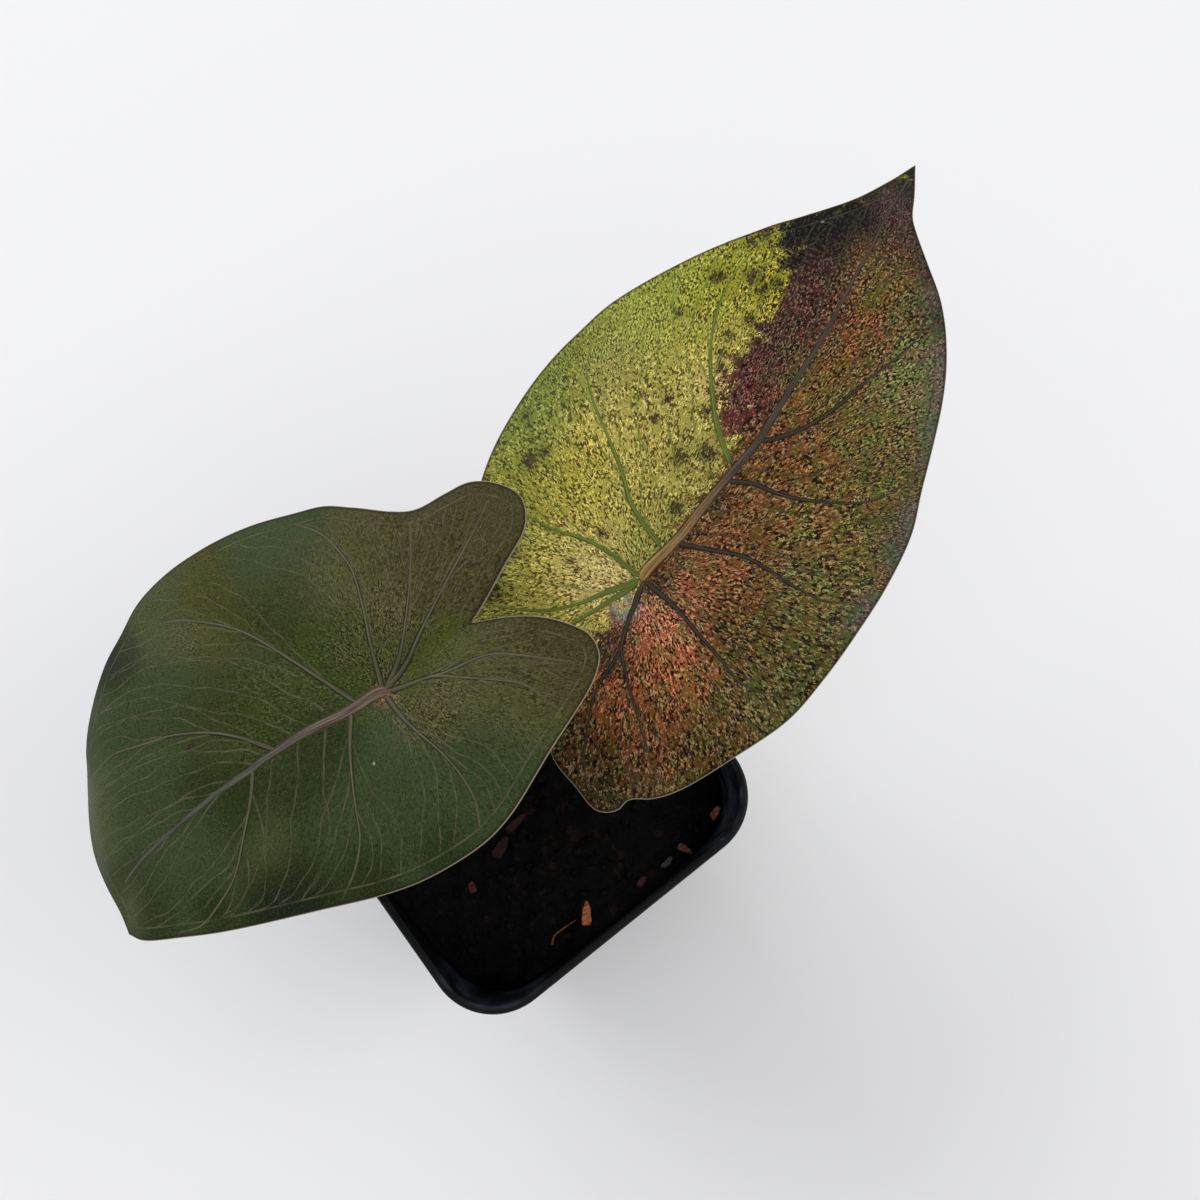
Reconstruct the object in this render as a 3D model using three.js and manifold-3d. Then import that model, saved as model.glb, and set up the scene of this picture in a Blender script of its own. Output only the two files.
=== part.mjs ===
// A young plumbea alocasia in a small square nursery pot.
// Millimetres, +Z up. The origin is the centre of the pot's underside, and X and Y run
// along the pot's sides. The right leaf reaches towards +X and the left leaf towards -X.

import * as THREE from 'three';
import { mergeVertices } from 'three/addons/utils/BufferGeometryUtils.js';
import Module from 'manifold-3d';

const wasm = await Module();
wasm.setup();

// Pot: a thin tapered wall with rounded corners, a thicker band round the rim and a row of
// drain holes round the floor, whose middle is left flat.
const POT_HEIGHT = 78;
const RIM_HALF = 40;
const RIM_CORNER = 14.4;
const BASE_HALF = 29.5;
const BASE_CORNER = 9;
const FLOOR_THICKNESS = 1.4;
const WALL_THICKNESS = 1.1;
const RIM_THICKNESS = 1.8;
const BAND_HEIGHT = 12;
const BAND_STEP = 0.8;
const LIP_ROUND = 0.7;
const CORNER_STEPS = 7;
const DRAIN_RADIUS = 3;
const DRAIN_OFFSET = 18;
const DRAIN_SIDES = 14;

// Soil: close under the rim along the sides, low in the corners, dipped at the crown.
const SOIL_LEVEL = 75.4;
const SOIL_CORNER_DROP = 15;
const SOIL_CORNER = 34;
const SOIL_LUMP = 0.55;
const SOIL_HIGHEST = POT_HEIGHT - 1;
const CROWN_DIP = 1.6;
const CROWN_DIP_RADIUS = 13;
const SOIL_RINGS = [0.93, 0.84, 0.74, 0.63, 0.51, 0.38, 0.24, 0.11];
const FIT_GAP = 0.3;

// Corm: the short underground stem that both petioles stand on, a little off the pot's axis.
const CROWN = new THREE.Vector2(-3, 4);
const CORM_TOP = 72;
const CORM_DEPTH = 25;
const CORM_RADIUS = 8.2;
const CORM_PROFILE = [[0.38, 0], [0.72, 0.14], [0.94, 0.35], [1, 0.6], [0.98, 0.82], [0.8, 1]];
const ROOT_COUNT = 9;
const ROOT_RADIUS = 1.1;
const ROOT_LENGTH = 24;
const ROOT_FALL = 14;
const FIRST_ROOT_DEPTH = 8;
const ROOT_SPACING = 2.2;

// Leaves: the blade's thickness at its middle and margin, its midrib, side ribs and pleats.
const BLADE_THICKNESS = 0.95;
const MARGIN_THICKNESS = 0.75;
const MIDRIB_RADII = [1.25, 0.5];
const SIDE_RIB_RADII = [0.7, 0.45];
const RIB_SINK = 0.42;
const RIB_SIDES = 5;
const MIDRIB_STEPS = 11;
const SIDE_RIB_STEPS = 5;
const FOLD_WIDTH = 3;
const FUNNEL_RADIUS = 7;
const PLEAT_WIDTH = 4.5;
const TROUGH_DEPTH = 1.3;
const TROUGH_WIDTH = 3;
const TROUGH_START = 6;
const WAVE_HEIGHT = 0.5;
const WAVE_COUNT = 9;
const LEFT_STEPS = 38;
const RIGHT_STEPS = 42;
const RING_FRACTIONS = [0.07, 0.17, 0.29, 0.42, 0.55, 0.68, 0.8, 0.91, 1];

// Petioles: round, thicker towards the crown. Each ends in a short stub under its blade.
const PETIOLE_TOP_RADIUS = 1.6;
const PETIOLE_BASE_RADIUS = 2.85;
const PETIOLE_STEPS = 22;
const PETIOLE_SIDES = 12;
const PETIOLE_FOOT = CORM_TOP + 0.5;
const STUB_LENGTH = 4.5;

// Each leaf is drawn flat in its own frame: x runs from the petiole's attachment to the
// tip, y to the left of it, and the blade is then lifted off the plane by bladeHeight().
// The two margins run from the tip to the sinus between the lobes.
const RIGHT_LEAF = {
  name: 'leaf_right',
  attachment: new THREE.Vector3(36.5, 6.2, 134),
  heading: 14.3,
  pitch: -7,
  fold: 0.22,
  arch: 0.008,
  bow: 0.001,
  tipStart: 70,
  tipDroop: 0.004,
  funnelDepth: 2.0,
  pleat: 0.8,
  curl: 1.2,
  curlSide: -40,
  curlSpread: 45,
  centreline: [[-20, 0.2], [0, 0], [23, -1], [46, 0], [70, 3.4], [88, 6.8], [104, 9.9]],
  leftMargin: [
    [104, 9.9], [96, 11.3], [86.5, 14], [76.5, 19.3], [69.5, 24.3], [55, 32.7], [41.5, 38.4],
    [31, 40.4], [20, 41.1], [9, 39.6], [-2, 36], [-13, 30.5], [-24, 24.5], [-33, 19],
    [-37.5, 13.5], [-36.5, 9], [-31.5, 5.2], [-25, 2.2], [-20, 0.2],
  ],
  rightMargin: [
    [104, 9.9], [96.6, 5.6], [91.2, 2.7], [88.4, 0], [83.7, -5.6], [77.8, -12.9], [69.7, -19.2],
    [61.9, -23.6], [45.3, -30.5], [37, -34], [26.4, -36], [16.3, -36.7], [6.6, -36.9],
    [-3.7, -36.2], [-15, -32.6], [-25.5, -28.4], [-29.6, -25.6], [-32.5, -22.3], [-35, -21.9],
    [-37.3, -19.2], [-36.4, -13.5], [-34.4, -6.4], [-28, -2.6], [-20, 0.2],
  ],
  ribs: [
    [[7, 2], [10, 9.6], [18, 21.3], [26.5, 33], [33, 37.5]],
    [[27.5, 1], [31.7, 6.4], [43.6, 16.7], [57, 22.5], [67, 22.5]],
    [[0, 1], [0.6, 8.4], [-2, 18.4], [-2.5, 30]],
    [[0, 0.8], [-9.9, 6], [-18.2, 15.3], [-22, 22]],
    [[0, 0.8], [-9, 3.5], [-20, 7.5], [-31, 13]],
    [[34, -1.5], [42.5, -7.2], [55.6, -10.6], [68, -12.6], [75, -11.5]],
    [[24.5, -1.5], [27.8, -10.1], [32.3, -19.1], [42.6, -28]],
    [[9, -1], [14.5, -12.8], [15.8, -23.4], [20, -34]],
    [[1, -1], [-1.6, -14.2], [-3.9, -25], [1, -34.5]],
    [[0, -0.8], [-11.9, -4.9], [-18.1, -12.3], [-25.7, -25]],
    [[0, -0.8], [-11.9, -4.9], [-25.5, -8.1], [-34, -14.5]],
  ],
};

const LEFT_LEAF = {
  name: 'leaf_left',
  attachment: new THREE.Vector3(-11.7, 14.7, 146),
  heading: 169.3,
  pitch: 17,
  fold: 0.16,
  arch: 0.0068,
  bow: 0.0011,
  tipStart: 45,
  tipDroop: 0.006,
  funnelDepth: 2.2,
  pleat: 0.8,
  curl: 2.4,
  curlSide: -8,
  curlSpread: 26,
  centreline: [[-18.4, -2.7], [0, 0], [21, -0.5], [38, 0.9], [53, 3], [61, 6], [65.4, 13]],
  leftMargin: [
    [65.4, 13], [62.3, 15.4], [53.2, 19], [44.1, 22.1], [25.9, 27], [15.3, 29.7], [7.2, 30.8],
    [-1.6, 30.6], [-8.4, 28.9], [-17.1, 24.8], [-26.1, 19.7], [-32.1, 16.3], [-35.2, 13],
    [-35.4, 9.5], [-33, 6], [-29.4, 2.7], [-24.1, -0.4], [-18.4, -2.7],
  ],
  rightMargin: [
    [65.4, 13], [65.6, 8.6], [67, 2.5], [67.8, -4], [66.6, -10.4], [64, -16.6], [59.4, -22.8],
    [52.8, -29.2], [46.3, -35.4], [39.6, -40.4], [31.6, -42.4], [21, -41.8], [8, -39.3],
    [-2.4, -35.8], [-8.8, -31.1], [-14.9, -26.4], [-18.6, -24.6], [-24.4, -24.3], [-29.1, -23.8],
    [-33.3, -20.9], [-35.9, -16.5], [-34.4, -12], [-28.2, -7.9], [-23.6, -5.3], [-18.4, -2.7],
  ],
  ribs: [
    [[0, 0.5], [-9.9, 2.8], [-18.5, 8.4], [-25.2, 17.6]],
    [[-9.9, 2.8], [-20.4, 4.5], [-30, 11]],
    [[1.5, 0.5], [-2.3, 9], [-5.8, 18.7], [-4, 29]],
    [[7.4, 0.6], [11, 9.8], [14.4, 19.6], [22, 27]],
    [[28, 1], [33.2, 8.7], [38.7, 14.8], [52.9, 18.4]],
    [[1, -1], [-3.1, -14], [-4, -22], [3, -35.5]],
    [[5.5, -1.5], [11.7, -11.7], [19.7, -23], [32.1, -32.6], [43, -36]],
    [[22, -1.2], [32.4, -9.6], [47.3, -15], [60, -16.8]],
    [[0, -0.5], [-10, -4.5], [-20, -11], [-30, -19.5]],
  ],
};

// Where each petiole runs, from the crown to just below its leaf.
const RIGHT_PETIOLE = {
  name: 'petiole_right',
  leaf: RIGHT_LEAF,
  path: [[0.1, 3.2, PETIOLE_FOOT], [1.4, 3.4, 89], [8.5, 4.1, 106.5], [21, 5.1, 121]],
};
const LEFT_PETIOLE = {
  name: 'petiole_left',
  leaf: LEFT_LEAF,
  path: [[-6.2, 4.8, PETIOLE_FOOT], [-6.8, 6, 95], [-8.2, 9, 116], [-10, 12.3, 132]],
};

// Loose bits on the soil: place, length, width, thickness, turn in degrees and colour.
const BARK_BITS = [
  { name: 'bark_chip_front', at: [-6.3, -32.6], size: [4.8, 2.0, 1.6], turn: 52, colour: 0xb0683a },
  { name: 'bark_chip_right', at: [30.5, -32.7], size: [3.2, 1.8, 1.3], turn: 18, colour: 0xa86a42 },
  { name: 'bark_chip_side', at: [19.2, -34.9], size: [3.4, 1.5, 1.2], turn: -66, colour: 0x8a5636 },
  { name: 'bark_chip_grey', at: [14.2, -34.9], size: [3.2, 1.4, 1.2], turn: 8, colour: 0x6d6558 },
  { name: 'bark_chip_red', at: [7.2, -34.7], size: [2.6, 1.4, 1.2], turn: 14, colour: 0x6b3026 },
  { name: 'bark_chip_inner', at: [-12.4, -10.1], size: [5.0, 2.4, 1.6], turn: 22, colour: 0x4e2a20 },
  { name: 'bark_chip_long', at: [-6.6, -8.0], size: [5.2, 1.5, 1.3], turn: 6, colour: 0x5a2e24 },
  { name: 'bark_chip_left', at: [-22.6, -13.2], size: [2.4, 1.6, 1.2], turn: 70, colour: 0x7c3c2a },
];
const ROOT_FIBRE = [[-15.6, -33.4], [-14, -31.8], [-11.5, -30.6], [-9.2, -29.6]];
const ROOT_FIBRE_RADIUS = 0.4;
const BARK_ROUGHNESS = 0.16;

const POT_PLASTIC = { color: 0x16171a, roughness: 0.5, metalness: 0 };
const POTTING_MIX = { color: 0x120f0d, roughness: 1, metalness: 0 };
const CORM_SKIN = { color: 0x4a3527, roughness: 0.9, metalness: 0 };
const PETIOLE_SKIN = { color: 0x3b2a2c, roughness: 0.5, metalness: 0 };
const VARIEGATED_BLADE = { color: 0x7d7a3c, roughness: 0.5, metalness: 0 };
const GREEN_BLADE = { color: 0x35472f, roughness: 0.5, metalness: 0 };
const PALE_ROOT = { color: 0xb98a62, roughness: 0.8, metalness: 0 };

const toVectors = (points) => points.map(([x, y, z = 0]) => new THREE.Vector3(x, y, z));
const smoothCurve = (points) => new THREE.CatmullRomCurve3(toVectors(points), false, 'centripetal');
const gauss = (value, width) => Math.exp(-((value / width) ** 2));
const mix = (a, b, t) => a + (b - a) * t;

// A closed surface through rings that all have the same number of points. Both ends are
// closed by a fan: round a middle point where one is given, else round the ring's first point.
function loft(rings, { startPoint = null, endPoint = null } = {}) {
  const count = rings[0].length;
  const positions = rings.flat().flatMap((p) => [p.x, p.y, p.z]);
  const triangles = [];
  const addPoint = (p) => {
    positions.push(p.x, p.y, p.z);
    return positions.length / 3 - 1;
  };
  for (let r = 0; r + 1 < rings.length; r += 1) {
    for (let i = 0; i < count; i += 1) {
      const j = (i + 1) % count;
      const low = r * count;
      const high = low + count;
      triangles.push(low + i, low + j, high + j, low + i, high + j, high + i);
    }
  }
  const last = (rings.length - 1) * count;
  const startCentre = startPoint ? addPoint(startPoint) : 0;
  const endCentre = endPoint ? addPoint(endPoint) : last;
  for (let i = startPoint ? 0 : 1; i < (startPoint ? count : count - 1); i += 1) {
    triangles.push(startCentre, (i + 1) % count, i);
  }
  for (let i = endPoint ? 0 : 1; i < (endPoint ? count : count - 1); i += 1) {
    triangles.push(endCentre, last + i, last + ((i + 1) % count));
  }
  const geometry = new THREE.BufferGeometry();
  geometry.setAttribute('position', new THREE.Float32BufferAttribute(positions, 3));
  geometry.setIndex(triangles);
  return geometry;
}

function withSharedVertices(geometry) {
  const bare = geometry.clone();
  bare.deleteAttribute('normal');
  bare.deleteAttribute('uv');
  return mergeVertices(bare, 1e-4);
}

// Booleans on closed geometries.
function toSolid(geometry) {
  const merged = withSharedVertices(geometry);
  return new wasm.Manifold(new wasm.Mesh({
    numProp: 3,
    vertProperties: new Float32Array(merged.attributes.position.array),
    triVerts: new Uint32Array(merged.index.array),
  }));
}

function toGeometry(solid) {
  const mesh = solid.getMesh();
  const geometry = new THREE.BufferGeometry();
  geometry.setAttribute('position', new THREE.Float32BufferAttribute(mesh.vertProperties, 3));
  geometry.setIndex(Array.from(mesh.triVerts));
  return geometry;
}

const fuse = (geometries) => toGeometry(
  geometries.map(toSolid).reduce((sum, solid) => sum.add(solid)),
);

const cutAway = (geometry, tools) => toGeometry(
  tools.map(toSolid).reduce((rest, solid) => rest.subtract(solid), toSolid(geometry)),
);

// A tube along a curve whose radius is a function of the way along it, 0 to 1.
function taperedTube(curve, radiusAt, steps, sides) {
  const frames = curve.computeFrenetFrames(steps, false);
  const rings = [];
  for (let s = 0; s <= steps; s += 1) {
    const centre = curve.getPointAt(s / steps);
    const radius = radiusAt(s / steps);
    const ring = [];
    for (let k = 0; k < sides; k += 1) {
      const angle = (2 * Math.PI * k) / sides;
      ring.push(centre.clone()
        .addScaledVector(frames.normals[s], radius * Math.cos(angle))
        .addScaledVector(frames.binormals[s], radius * Math.sin(angle)));
    }
    rings.push(ring);
  }
  return loft(rings, { startPoint: curve.getPointAt(0), endPoint: curve.getPointAt(1) });
}

// The pot's plan shape: a square of the given half side with rounded corners.
function roundedSquare(half, radius, z) {
  const ring = [];
  const inner = half - radius;
  [[1, 1], [-1, 1], [-1, -1], [1, -1]].forEach(([sx, sy], corner) => {
    for (let k = 0; k <= CORNER_STEPS; k += 1) {
      const angle = (Math.PI / 2) * (corner + k / CORNER_STEPS);
      const x = sx * inner + radius * Math.cos(angle);
      const y = sy * inner + radius * Math.sin(angle);
      ring.push(new THREE.Vector3(x, y, z));
    }
  });
  return ring;
}

const INNER_BASE_HALF = BASE_HALF - WALL_THICKNESS;
const INNER_RIM_HALF = RIM_HALF - RIM_THICKNESS;
const INNER_BASE_CORNER = BASE_CORNER - WALL_THICKNESS;
const INNER_RIM_CORNER = RIM_CORNER - RIM_THICKNESS;
const innerHalf = (z) => mix(INNER_BASE_HALF, INNER_RIM_HALF, z / POT_HEIGHT);
const innerCorner = (z) => mix(INNER_BASE_CORNER, INNER_RIM_CORNER, z / POT_HEIGHT);

function potGeometry() {
  const bandFoot = POT_HEIGHT - BAND_HEIGHT;
  const bodyHalf = innerHalf(bandFoot) + WALL_THICKNESS;
  const bodyCorner = innerCorner(bandFoot) + WALL_THICKNESS;
  const lip = RIM_HALF - LIP_ROUND;
  const rings = [
    roundedSquare(BASE_HALF - LIP_ROUND, BASE_CORNER - LIP_ROUND, 0),
    roundedSquare(BASE_HALF, BASE_CORNER, LIP_ROUND),
    roundedSquare(bodyHalf, bodyCorner, bandFoot),
    roundedSquare(bodyHalf + BAND_STEP, bodyCorner + BAND_STEP, bandFoot + BAND_STEP),
    roundedSquare(RIM_HALF, RIM_CORNER, POT_HEIGHT - LIP_ROUND),
    roundedSquare(lip, RIM_CORNER - LIP_ROUND, POT_HEIGHT),
    roundedSquare(INNER_RIM_HALF + LIP_ROUND / 2, INNER_RIM_CORNER + LIP_ROUND / 2, POT_HEIGHT),
    roundedSquare(INNER_RIM_HALF, INNER_RIM_CORNER, POT_HEIGHT - LIP_ROUND / 2),
    roundedSquare(innerHalf(FLOOR_THICKNESS), innerCorner(FLOOR_THICKNESS), FLOOR_THICKNESS),
  ];
  const shell = loft(rings, {
    startPoint: new THREE.Vector3(0, 0, 0),
    endPoint: new THREE.Vector3(0, 0, FLOOR_THICKNESS),
  });
  const drill = 4 * FLOOR_THICKNESS;
  const drain = new THREE.CylinderGeometry(DRAIN_RADIUS, DRAIN_RADIUS, drill, DRAIN_SIDES);
  drain.rotateX(Math.PI / 2);
  const steps = [-1, 0, 1];
  const places = steps.flatMap((i) => steps.map((j) => [i, j])).filter(([i, j]) => i || j);
  const drains = places.map(([i, j]) => drain.clone().translate(i * DRAIN_OFFSET, j * DRAIN_OFFSET, 0));
  return cutAway(shell, drains);
}

// Height of the soil: lumps everywhere, low corners, and a dip round the crown.
function soilHeight(x, y) {
  const corner = Math.min(1, Math.abs(x * y) / SOIL_CORNER ** 2);
  const lumps = Math.sin(0.55 * x + 1.3) * Math.cos(0.47 * y - 0.4)
    + 0.6 * Math.sin(0.9 * x - 0.8 * y) + 0.5 * Math.cos(1.15 * y + 0.35 * x);
  const crownDip = CROWN_DIP * gauss(Math.hypot(x - CROWN.x, y - CROWN.y), CROWN_DIP_RADIUS);
  return SOIL_LEVEL - SOIL_CORNER_DROP * corner ** 1.6 + SOIL_LUMP * lumps - crownDip;
}

function soilBlock() {
  const floor = FLOOR_THICKNESS + FIT_GAP;
  const wallRing = (z) => roundedSquare(innerHalf(z) - FIT_GAP, innerCorner(z) - FIT_GAP, z);
  const rings = [wallRing(floor)];
  const rim = wallRing(SOIL_LEVEL).map((p, i) => {
    const z = Math.min(soilHeight(p.x, p.y), SOIL_HIGHEST);
    return wallRing(z)[i];
  });
  rings.push(rim);
  SOIL_RINGS.forEach((scale) => {
    rings.push(rim.map((p) => {
      const x = p.x * scale;
      const y = p.y * scale;
      return new THREE.Vector3(x, y, soilHeight(x, y));
    }));
  });
  return loft(rings, {
    startPoint: new THREE.Vector3(0, 0, floor),
    endPoint: new THREE.Vector3(0, 0, soilHeight(0, 0)),
  });
}

// A root: it leaves the corm's side and bends outwards and down.
function rootGeometry(index, extra) {
  const angle = (2 * Math.PI * (index + 0.3 * Math.sin(5 * index))) / ROOT_COUNT;
  const start = CORM_TOP - FIRST_ROOT_DEPTH - ROOT_SPACING * (index % 4);
  const fall = ROOT_FALL * (0.65 + 0.35 * (index % 3));
  const reach = ROOT_LENGTH * (0.75 + 0.08 * (index % 4));
  const at = (along, down, swing) => new THREE.Vector3(
    CROWN.x + along * Math.cos(angle + swing),
    CROWN.y + along * Math.sin(angle + swing),
    start - down,
  );
  const path = new THREE.CatmullRomCurve3([
    at(0.5 * CORM_RADIUS, 0, 0),
    at(CORM_RADIUS + 3, 1, 0.1),
    at(0.75 * reach, 0.45 * fall, -0.1),
    at(reach, fall, 0.1),
  ]);
  return taperedTube(path, (t) => mix(ROOT_RADIUS, 0.6 * ROOT_RADIUS, t) + extra, 6, 6);
}

// The corm with its roots, larger by "extra" all round.
function cormGeometry(extra) {
  const bottom = CORM_TOP - CORM_DEPTH;
  const profile = CORM_PROFILE.map(([radius, height]) => {
    const end = (height === 1 ? extra : 0) - (height === 0 ? extra : 0);
    return new THREE.Vector2(radius * CORM_RADIUS + extra, bottom + height * CORM_DEPTH + end);
  });
  const closed = [
    new THREE.Vector2(0, bottom - extra),
    ...profile,
    new THREE.Vector2(0, CORM_TOP + extra),
  ];
  const body = new THREE.LatheGeometry(closed, 18);
  body.rotateX(Math.PI / 2);
  body.translate(CROWN.x, CROWN.y, 0);
  const roots = Array.from({ length: ROOT_COUNT }, (_, index) => rootGeometry(index, extra));
  return fuse([body, ...roots]);
}

// The line on which the blade's two halves meet: the midrib, and behind the attachment
// the line to the sinus.
function centreOffset(leaf, x) {
  const line = leaf.centreline;
  const last = line.length - 1;
  const clamped = Math.min(Math.max(x, line[0][0]), line[last][0]);
  const i = Math.min(last - 1, Math.max(0, line.findIndex(([px]) => px >= clamped) - 1));
  const t = (clamped - line[i][0]) / (line[i + 1][0] - line[i][0]);
  return mix(line[i][1], line[i + 1][1], t);
}

function distanceToRibs(leaf, x, y) {
  let nearest = Infinity;
  leaf.ribPoints.forEach((points) => {
    for (let i = 0; i + 1 < points.length; i += 1) {
      const a = points[i];
      const b = points[i + 1];
      const dx = b.x - a.x;
      const dy = b.y - a.y;
      const along = ((x - a.x) * dx + (y - a.y) * dy) / (dx * dx + dy * dy);
      const t = Math.min(1, Math.max(0, along));
      nearest = Math.min(nearest, Math.hypot(x - a.x - t * dx, y - a.y - t * dy));
    }
  });
  return nearest;
}

// Height of the blade's upper face over the leaf's own plane. The two halves rise from the
// midrib and arch over, the tip and lobes droop, the middle dips into a funnel, the blade
// swells between the side ribs, and the margin curls and waves. "out" is 0 at the
// attachment and 1 at the margin.
function bladeHeight(leaf, x, y, out) {
  const side = y - centreOffset(leaf, x);
  const angle = THREE.MathUtils.radToDeg(Math.atan2(y, x));
  const valley = leaf.fold * (Math.hypot(side, FOLD_WIDTH) - FOLD_WIDTH) - leaf.arch * side * side;
  const droop = leaf.bow * x * x + leaf.tipDroop * Math.max(0, x - leaf.tipStart) ** 2;
  const funnel = leaf.funnelDepth * gauss(Math.hypot(x, y), FUNNEL_RADIUS);
  const pleat = leaf.pleat * (1 - gauss(distanceToRibs(leaf, x, y), PLEAT_WIDTH));
  const behind = Math.min(1, Math.max(0, -x / TROUGH_START));
  const trough = TROUGH_DEPTH * behind * gauss(side, TROUGH_WIDTH);
  const curl = leaf.curl * gauss(angle - leaf.curlSide, leaf.curlSpread) * out ** 9;
  const wave = WAVE_HEIGHT * Math.sin(THREE.MathUtils.degToRad(WAVE_COUNT * angle)) * out ** 4;
  return valley - droop - funnel + pleat - trough - curl + wave;
}

// Points on the margin, evenly spaced along each side, from the tip round to the tip.
function marginPoints(leaf) {
  const left = smoothCurve(leaf.leftMargin).getSpacedPoints(LEFT_STEPS);
  const right = smoothCurve(leaf.rightMargin).getSpacedPoints(RIGHT_STEPS).reverse();
  return [...left.slice(0, -1), ...right.slice(0, -1)];
}

// The blade: rings from the attachment out to the margin, split alike on both faces.
const bladeThickness = (out) => mix(BLADE_THICKNESS, MARGIN_THICKNESS, out);
function bladeGeometry(leaf) {
  const face = (drop) => RING_FRACTIONS.map((out) => leaf.marginPoints.map((p) => {
    const x = p.x * out;
    const y = p.y * out;
    return new THREE.Vector3(x, y, bladeHeight(leaf, x, y, out) - drop(out));
  }));
  const upper = face(() => 0);
  const lower = face(bladeThickness);
  const middle = bladeHeight(leaf, 0, 0, 0);
  return loft([...lower, ...upper.reverse()], {
    startPoint: new THREE.Vector3(0, 0, middle - BLADE_THICKNESS),
    endPoint: new THREE.Vector3(0, 0, middle),
  });
}

// How far out a point lies on the way from the attachment to the margin, 0 to 1.
function outFraction(leaf, x, y) {
  const turnTo = (p) => Math.abs(Math.atan2(x * p.y - y * p.x, x * p.x + y * p.y));
  const nearest = leaf.marginPoints.reduce((best, p) => (turnTo(p) < turnTo(best) ? p : best));
  return Math.min(1, Math.hypot(x, y) / nearest.length());
}

// A rib under the blade, its top sunk into the blade's lower face.
function ribGeometry(leaf, points, [rootRadius, tipRadius], steps) {
  const flat = smoothCurve(points).getSpacedPoints(steps);
  const lifted = flat.map((p, i) => {
    const radius = mix(rootRadius, tipRadius, i / steps);
    const out = outFraction(leaf, p.x, p.y);
    const lowerFace = bladeHeight(leaf, p.x, p.y, out) - bladeThickness(out);
    return new THREE.Vector3(p.x, p.y, lowerFace + RIB_SINK - radius);
  });
  const curve = new THREE.CatmullRomCurve3(lifted);
  return taperedTube(curve, (t) => mix(rootRadius, tipRadius, t), steps, RIB_SIDES);
}

function leafPlacement(leaf) {
  const turn = new THREE.Euler(
    0,
    THREE.MathUtils.degToRad(leaf.pitch),
    THREE.MathUtils.degToRad(leaf.heading),
    'ZYX',
  );
  const matrix = new THREE.Matrix4().makeRotationFromEuler(turn);
  return matrix.setPosition(leaf.attachment);
}

// The stub under the blade, on the petiole's line, in the leaf's frame.
function stubAxis(leaf) {
  const place = leafPlacement(leaf);
  const root = new THREE.Vector3(0, 0, bladeHeight(leaf, 0, 0, 0) - 0.5 * BLADE_THICKNESS);
  const from = new THREE.Vector3(...leaf.petiolePath[leaf.petiolePath.length - 1]);
  const direction = from.applyMatrix4(place.clone().invert()).sub(root).normalize();
  return { root, direction, foot: root.clone().addScaledVector(direction, STUB_LENGTH) };
}

function leafGeometry(leaf) {
  const midrib = leaf.centreline.filter(([x]) => x >= 0).slice(0, -1);
  const { root, foot } = stubAxis(leaf);
  const stub = taperedTube(new THREE.LineCurve3(root, foot), () => PETIOLE_TOP_RADIUS, 1, 10);
  const sideRib = (points) => ribGeometry(leaf, points, SIDE_RIB_RADII, SIDE_RIB_STEPS);
  const mainRib = ribGeometry(leaf, midrib, MIDRIB_RADII, MIDRIB_STEPS);
  return fuse([bladeGeometry(leaf), stub, mainRib, ...leaf.ribs.map(sideRib)]);
}

// A petiole, thicker by "extra" all round.
function petioleGeometry(petiole, extra) {
  const { foot, direction } = stubAxis(petiole.leaf);
  const top = foot.clone().addScaledVector(direction, FIT_GAP);
  const before = top.clone().addScaledVector(direction, STUB_LENGTH / 3);
  const place = leafPlacement(petiole.leaf);
  top.applyMatrix4(place);
  before.applyMatrix4(place);
  const curve = new THREE.CatmullRomCurve3([...toVectors(petiole.path), before, top]);
  const slimming = (t) => Math.min(1, 1.15 * t) ** 0.7;
  const radiusAt = (t) => mix(PETIOLE_BASE_RADIUS, PETIOLE_TOP_RADIUS, slimming(t)) + extra;
  return taperedTube(curve, radiusAt, PETIOLE_STEPS, PETIOLE_SIDES);
}

// An irregular flake of bark, resting just clear of the soil under it.
function barkGeometry(bit) {
  const [length, width, thickness] = bit.size;
  const flake = withSharedVertices(new THREE.IcosahedronGeometry(0.5, 1));
  const position = flake.attributes.position;
  const point = new THREE.Vector3();
  for (let i = 0; i < position.count; i += 1) {
    point.fromBufferAttribute(position, i);
    const bump = 1 + BARK_ROUGHNESS * Math.sin(7 * point.x + 11 * point.y + 5 * point.z + length);
    position.setXYZ(i, point.x * length * bump, point.y * width * bump, point.z * thickness);
  }
  flake.rotateZ(THREE.MathUtils.degToRad(bit.turn));
  const [x, y] = bit.at;
  let rest = -Infinity;
  for (let i = 0; i < position.count; i += 1) {
    const ground = soilHeight(x + position.getX(i), y + position.getY(i));
    rest = Math.max(rest, ground - position.getZ(i));
  }
  return flake.translate(x, y, rest + FIT_GAP);
}

function fibreGeometry() {
  const lift = 2 * FIT_GAP + ROOT_FIBRE_RADIUS;
  const path = ROOT_FIBRE.map(([x, y]) => new THREE.Vector3(x, y, soilHeight(x, y) + lift));
  return taperedTube(new THREE.CatmullRomCurve3(path), () => ROOT_FIBRE_RADIUS, 8, 6);
}

function addMesh(group, name, geometry, look) {
  const material = new THREE.MeshStandardMaterial(look);
  const mesh = new THREE.Mesh(geometry, material);
  mesh.name = name;
  group.add(mesh);
  return mesh;
}

[[RIGHT_LEAF, RIGHT_PETIOLE], [LEFT_LEAF, LEFT_PETIOLE]].forEach(([leaf, petiole]) => {
  leaf.petiolePath = petiole.path;
  leaf.ribPoints = leaf.ribs.map((points) => smoothCurve(points).getSpacedPoints(8));
  leaf.marginPoints = marginPoints(leaf);
});

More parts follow.
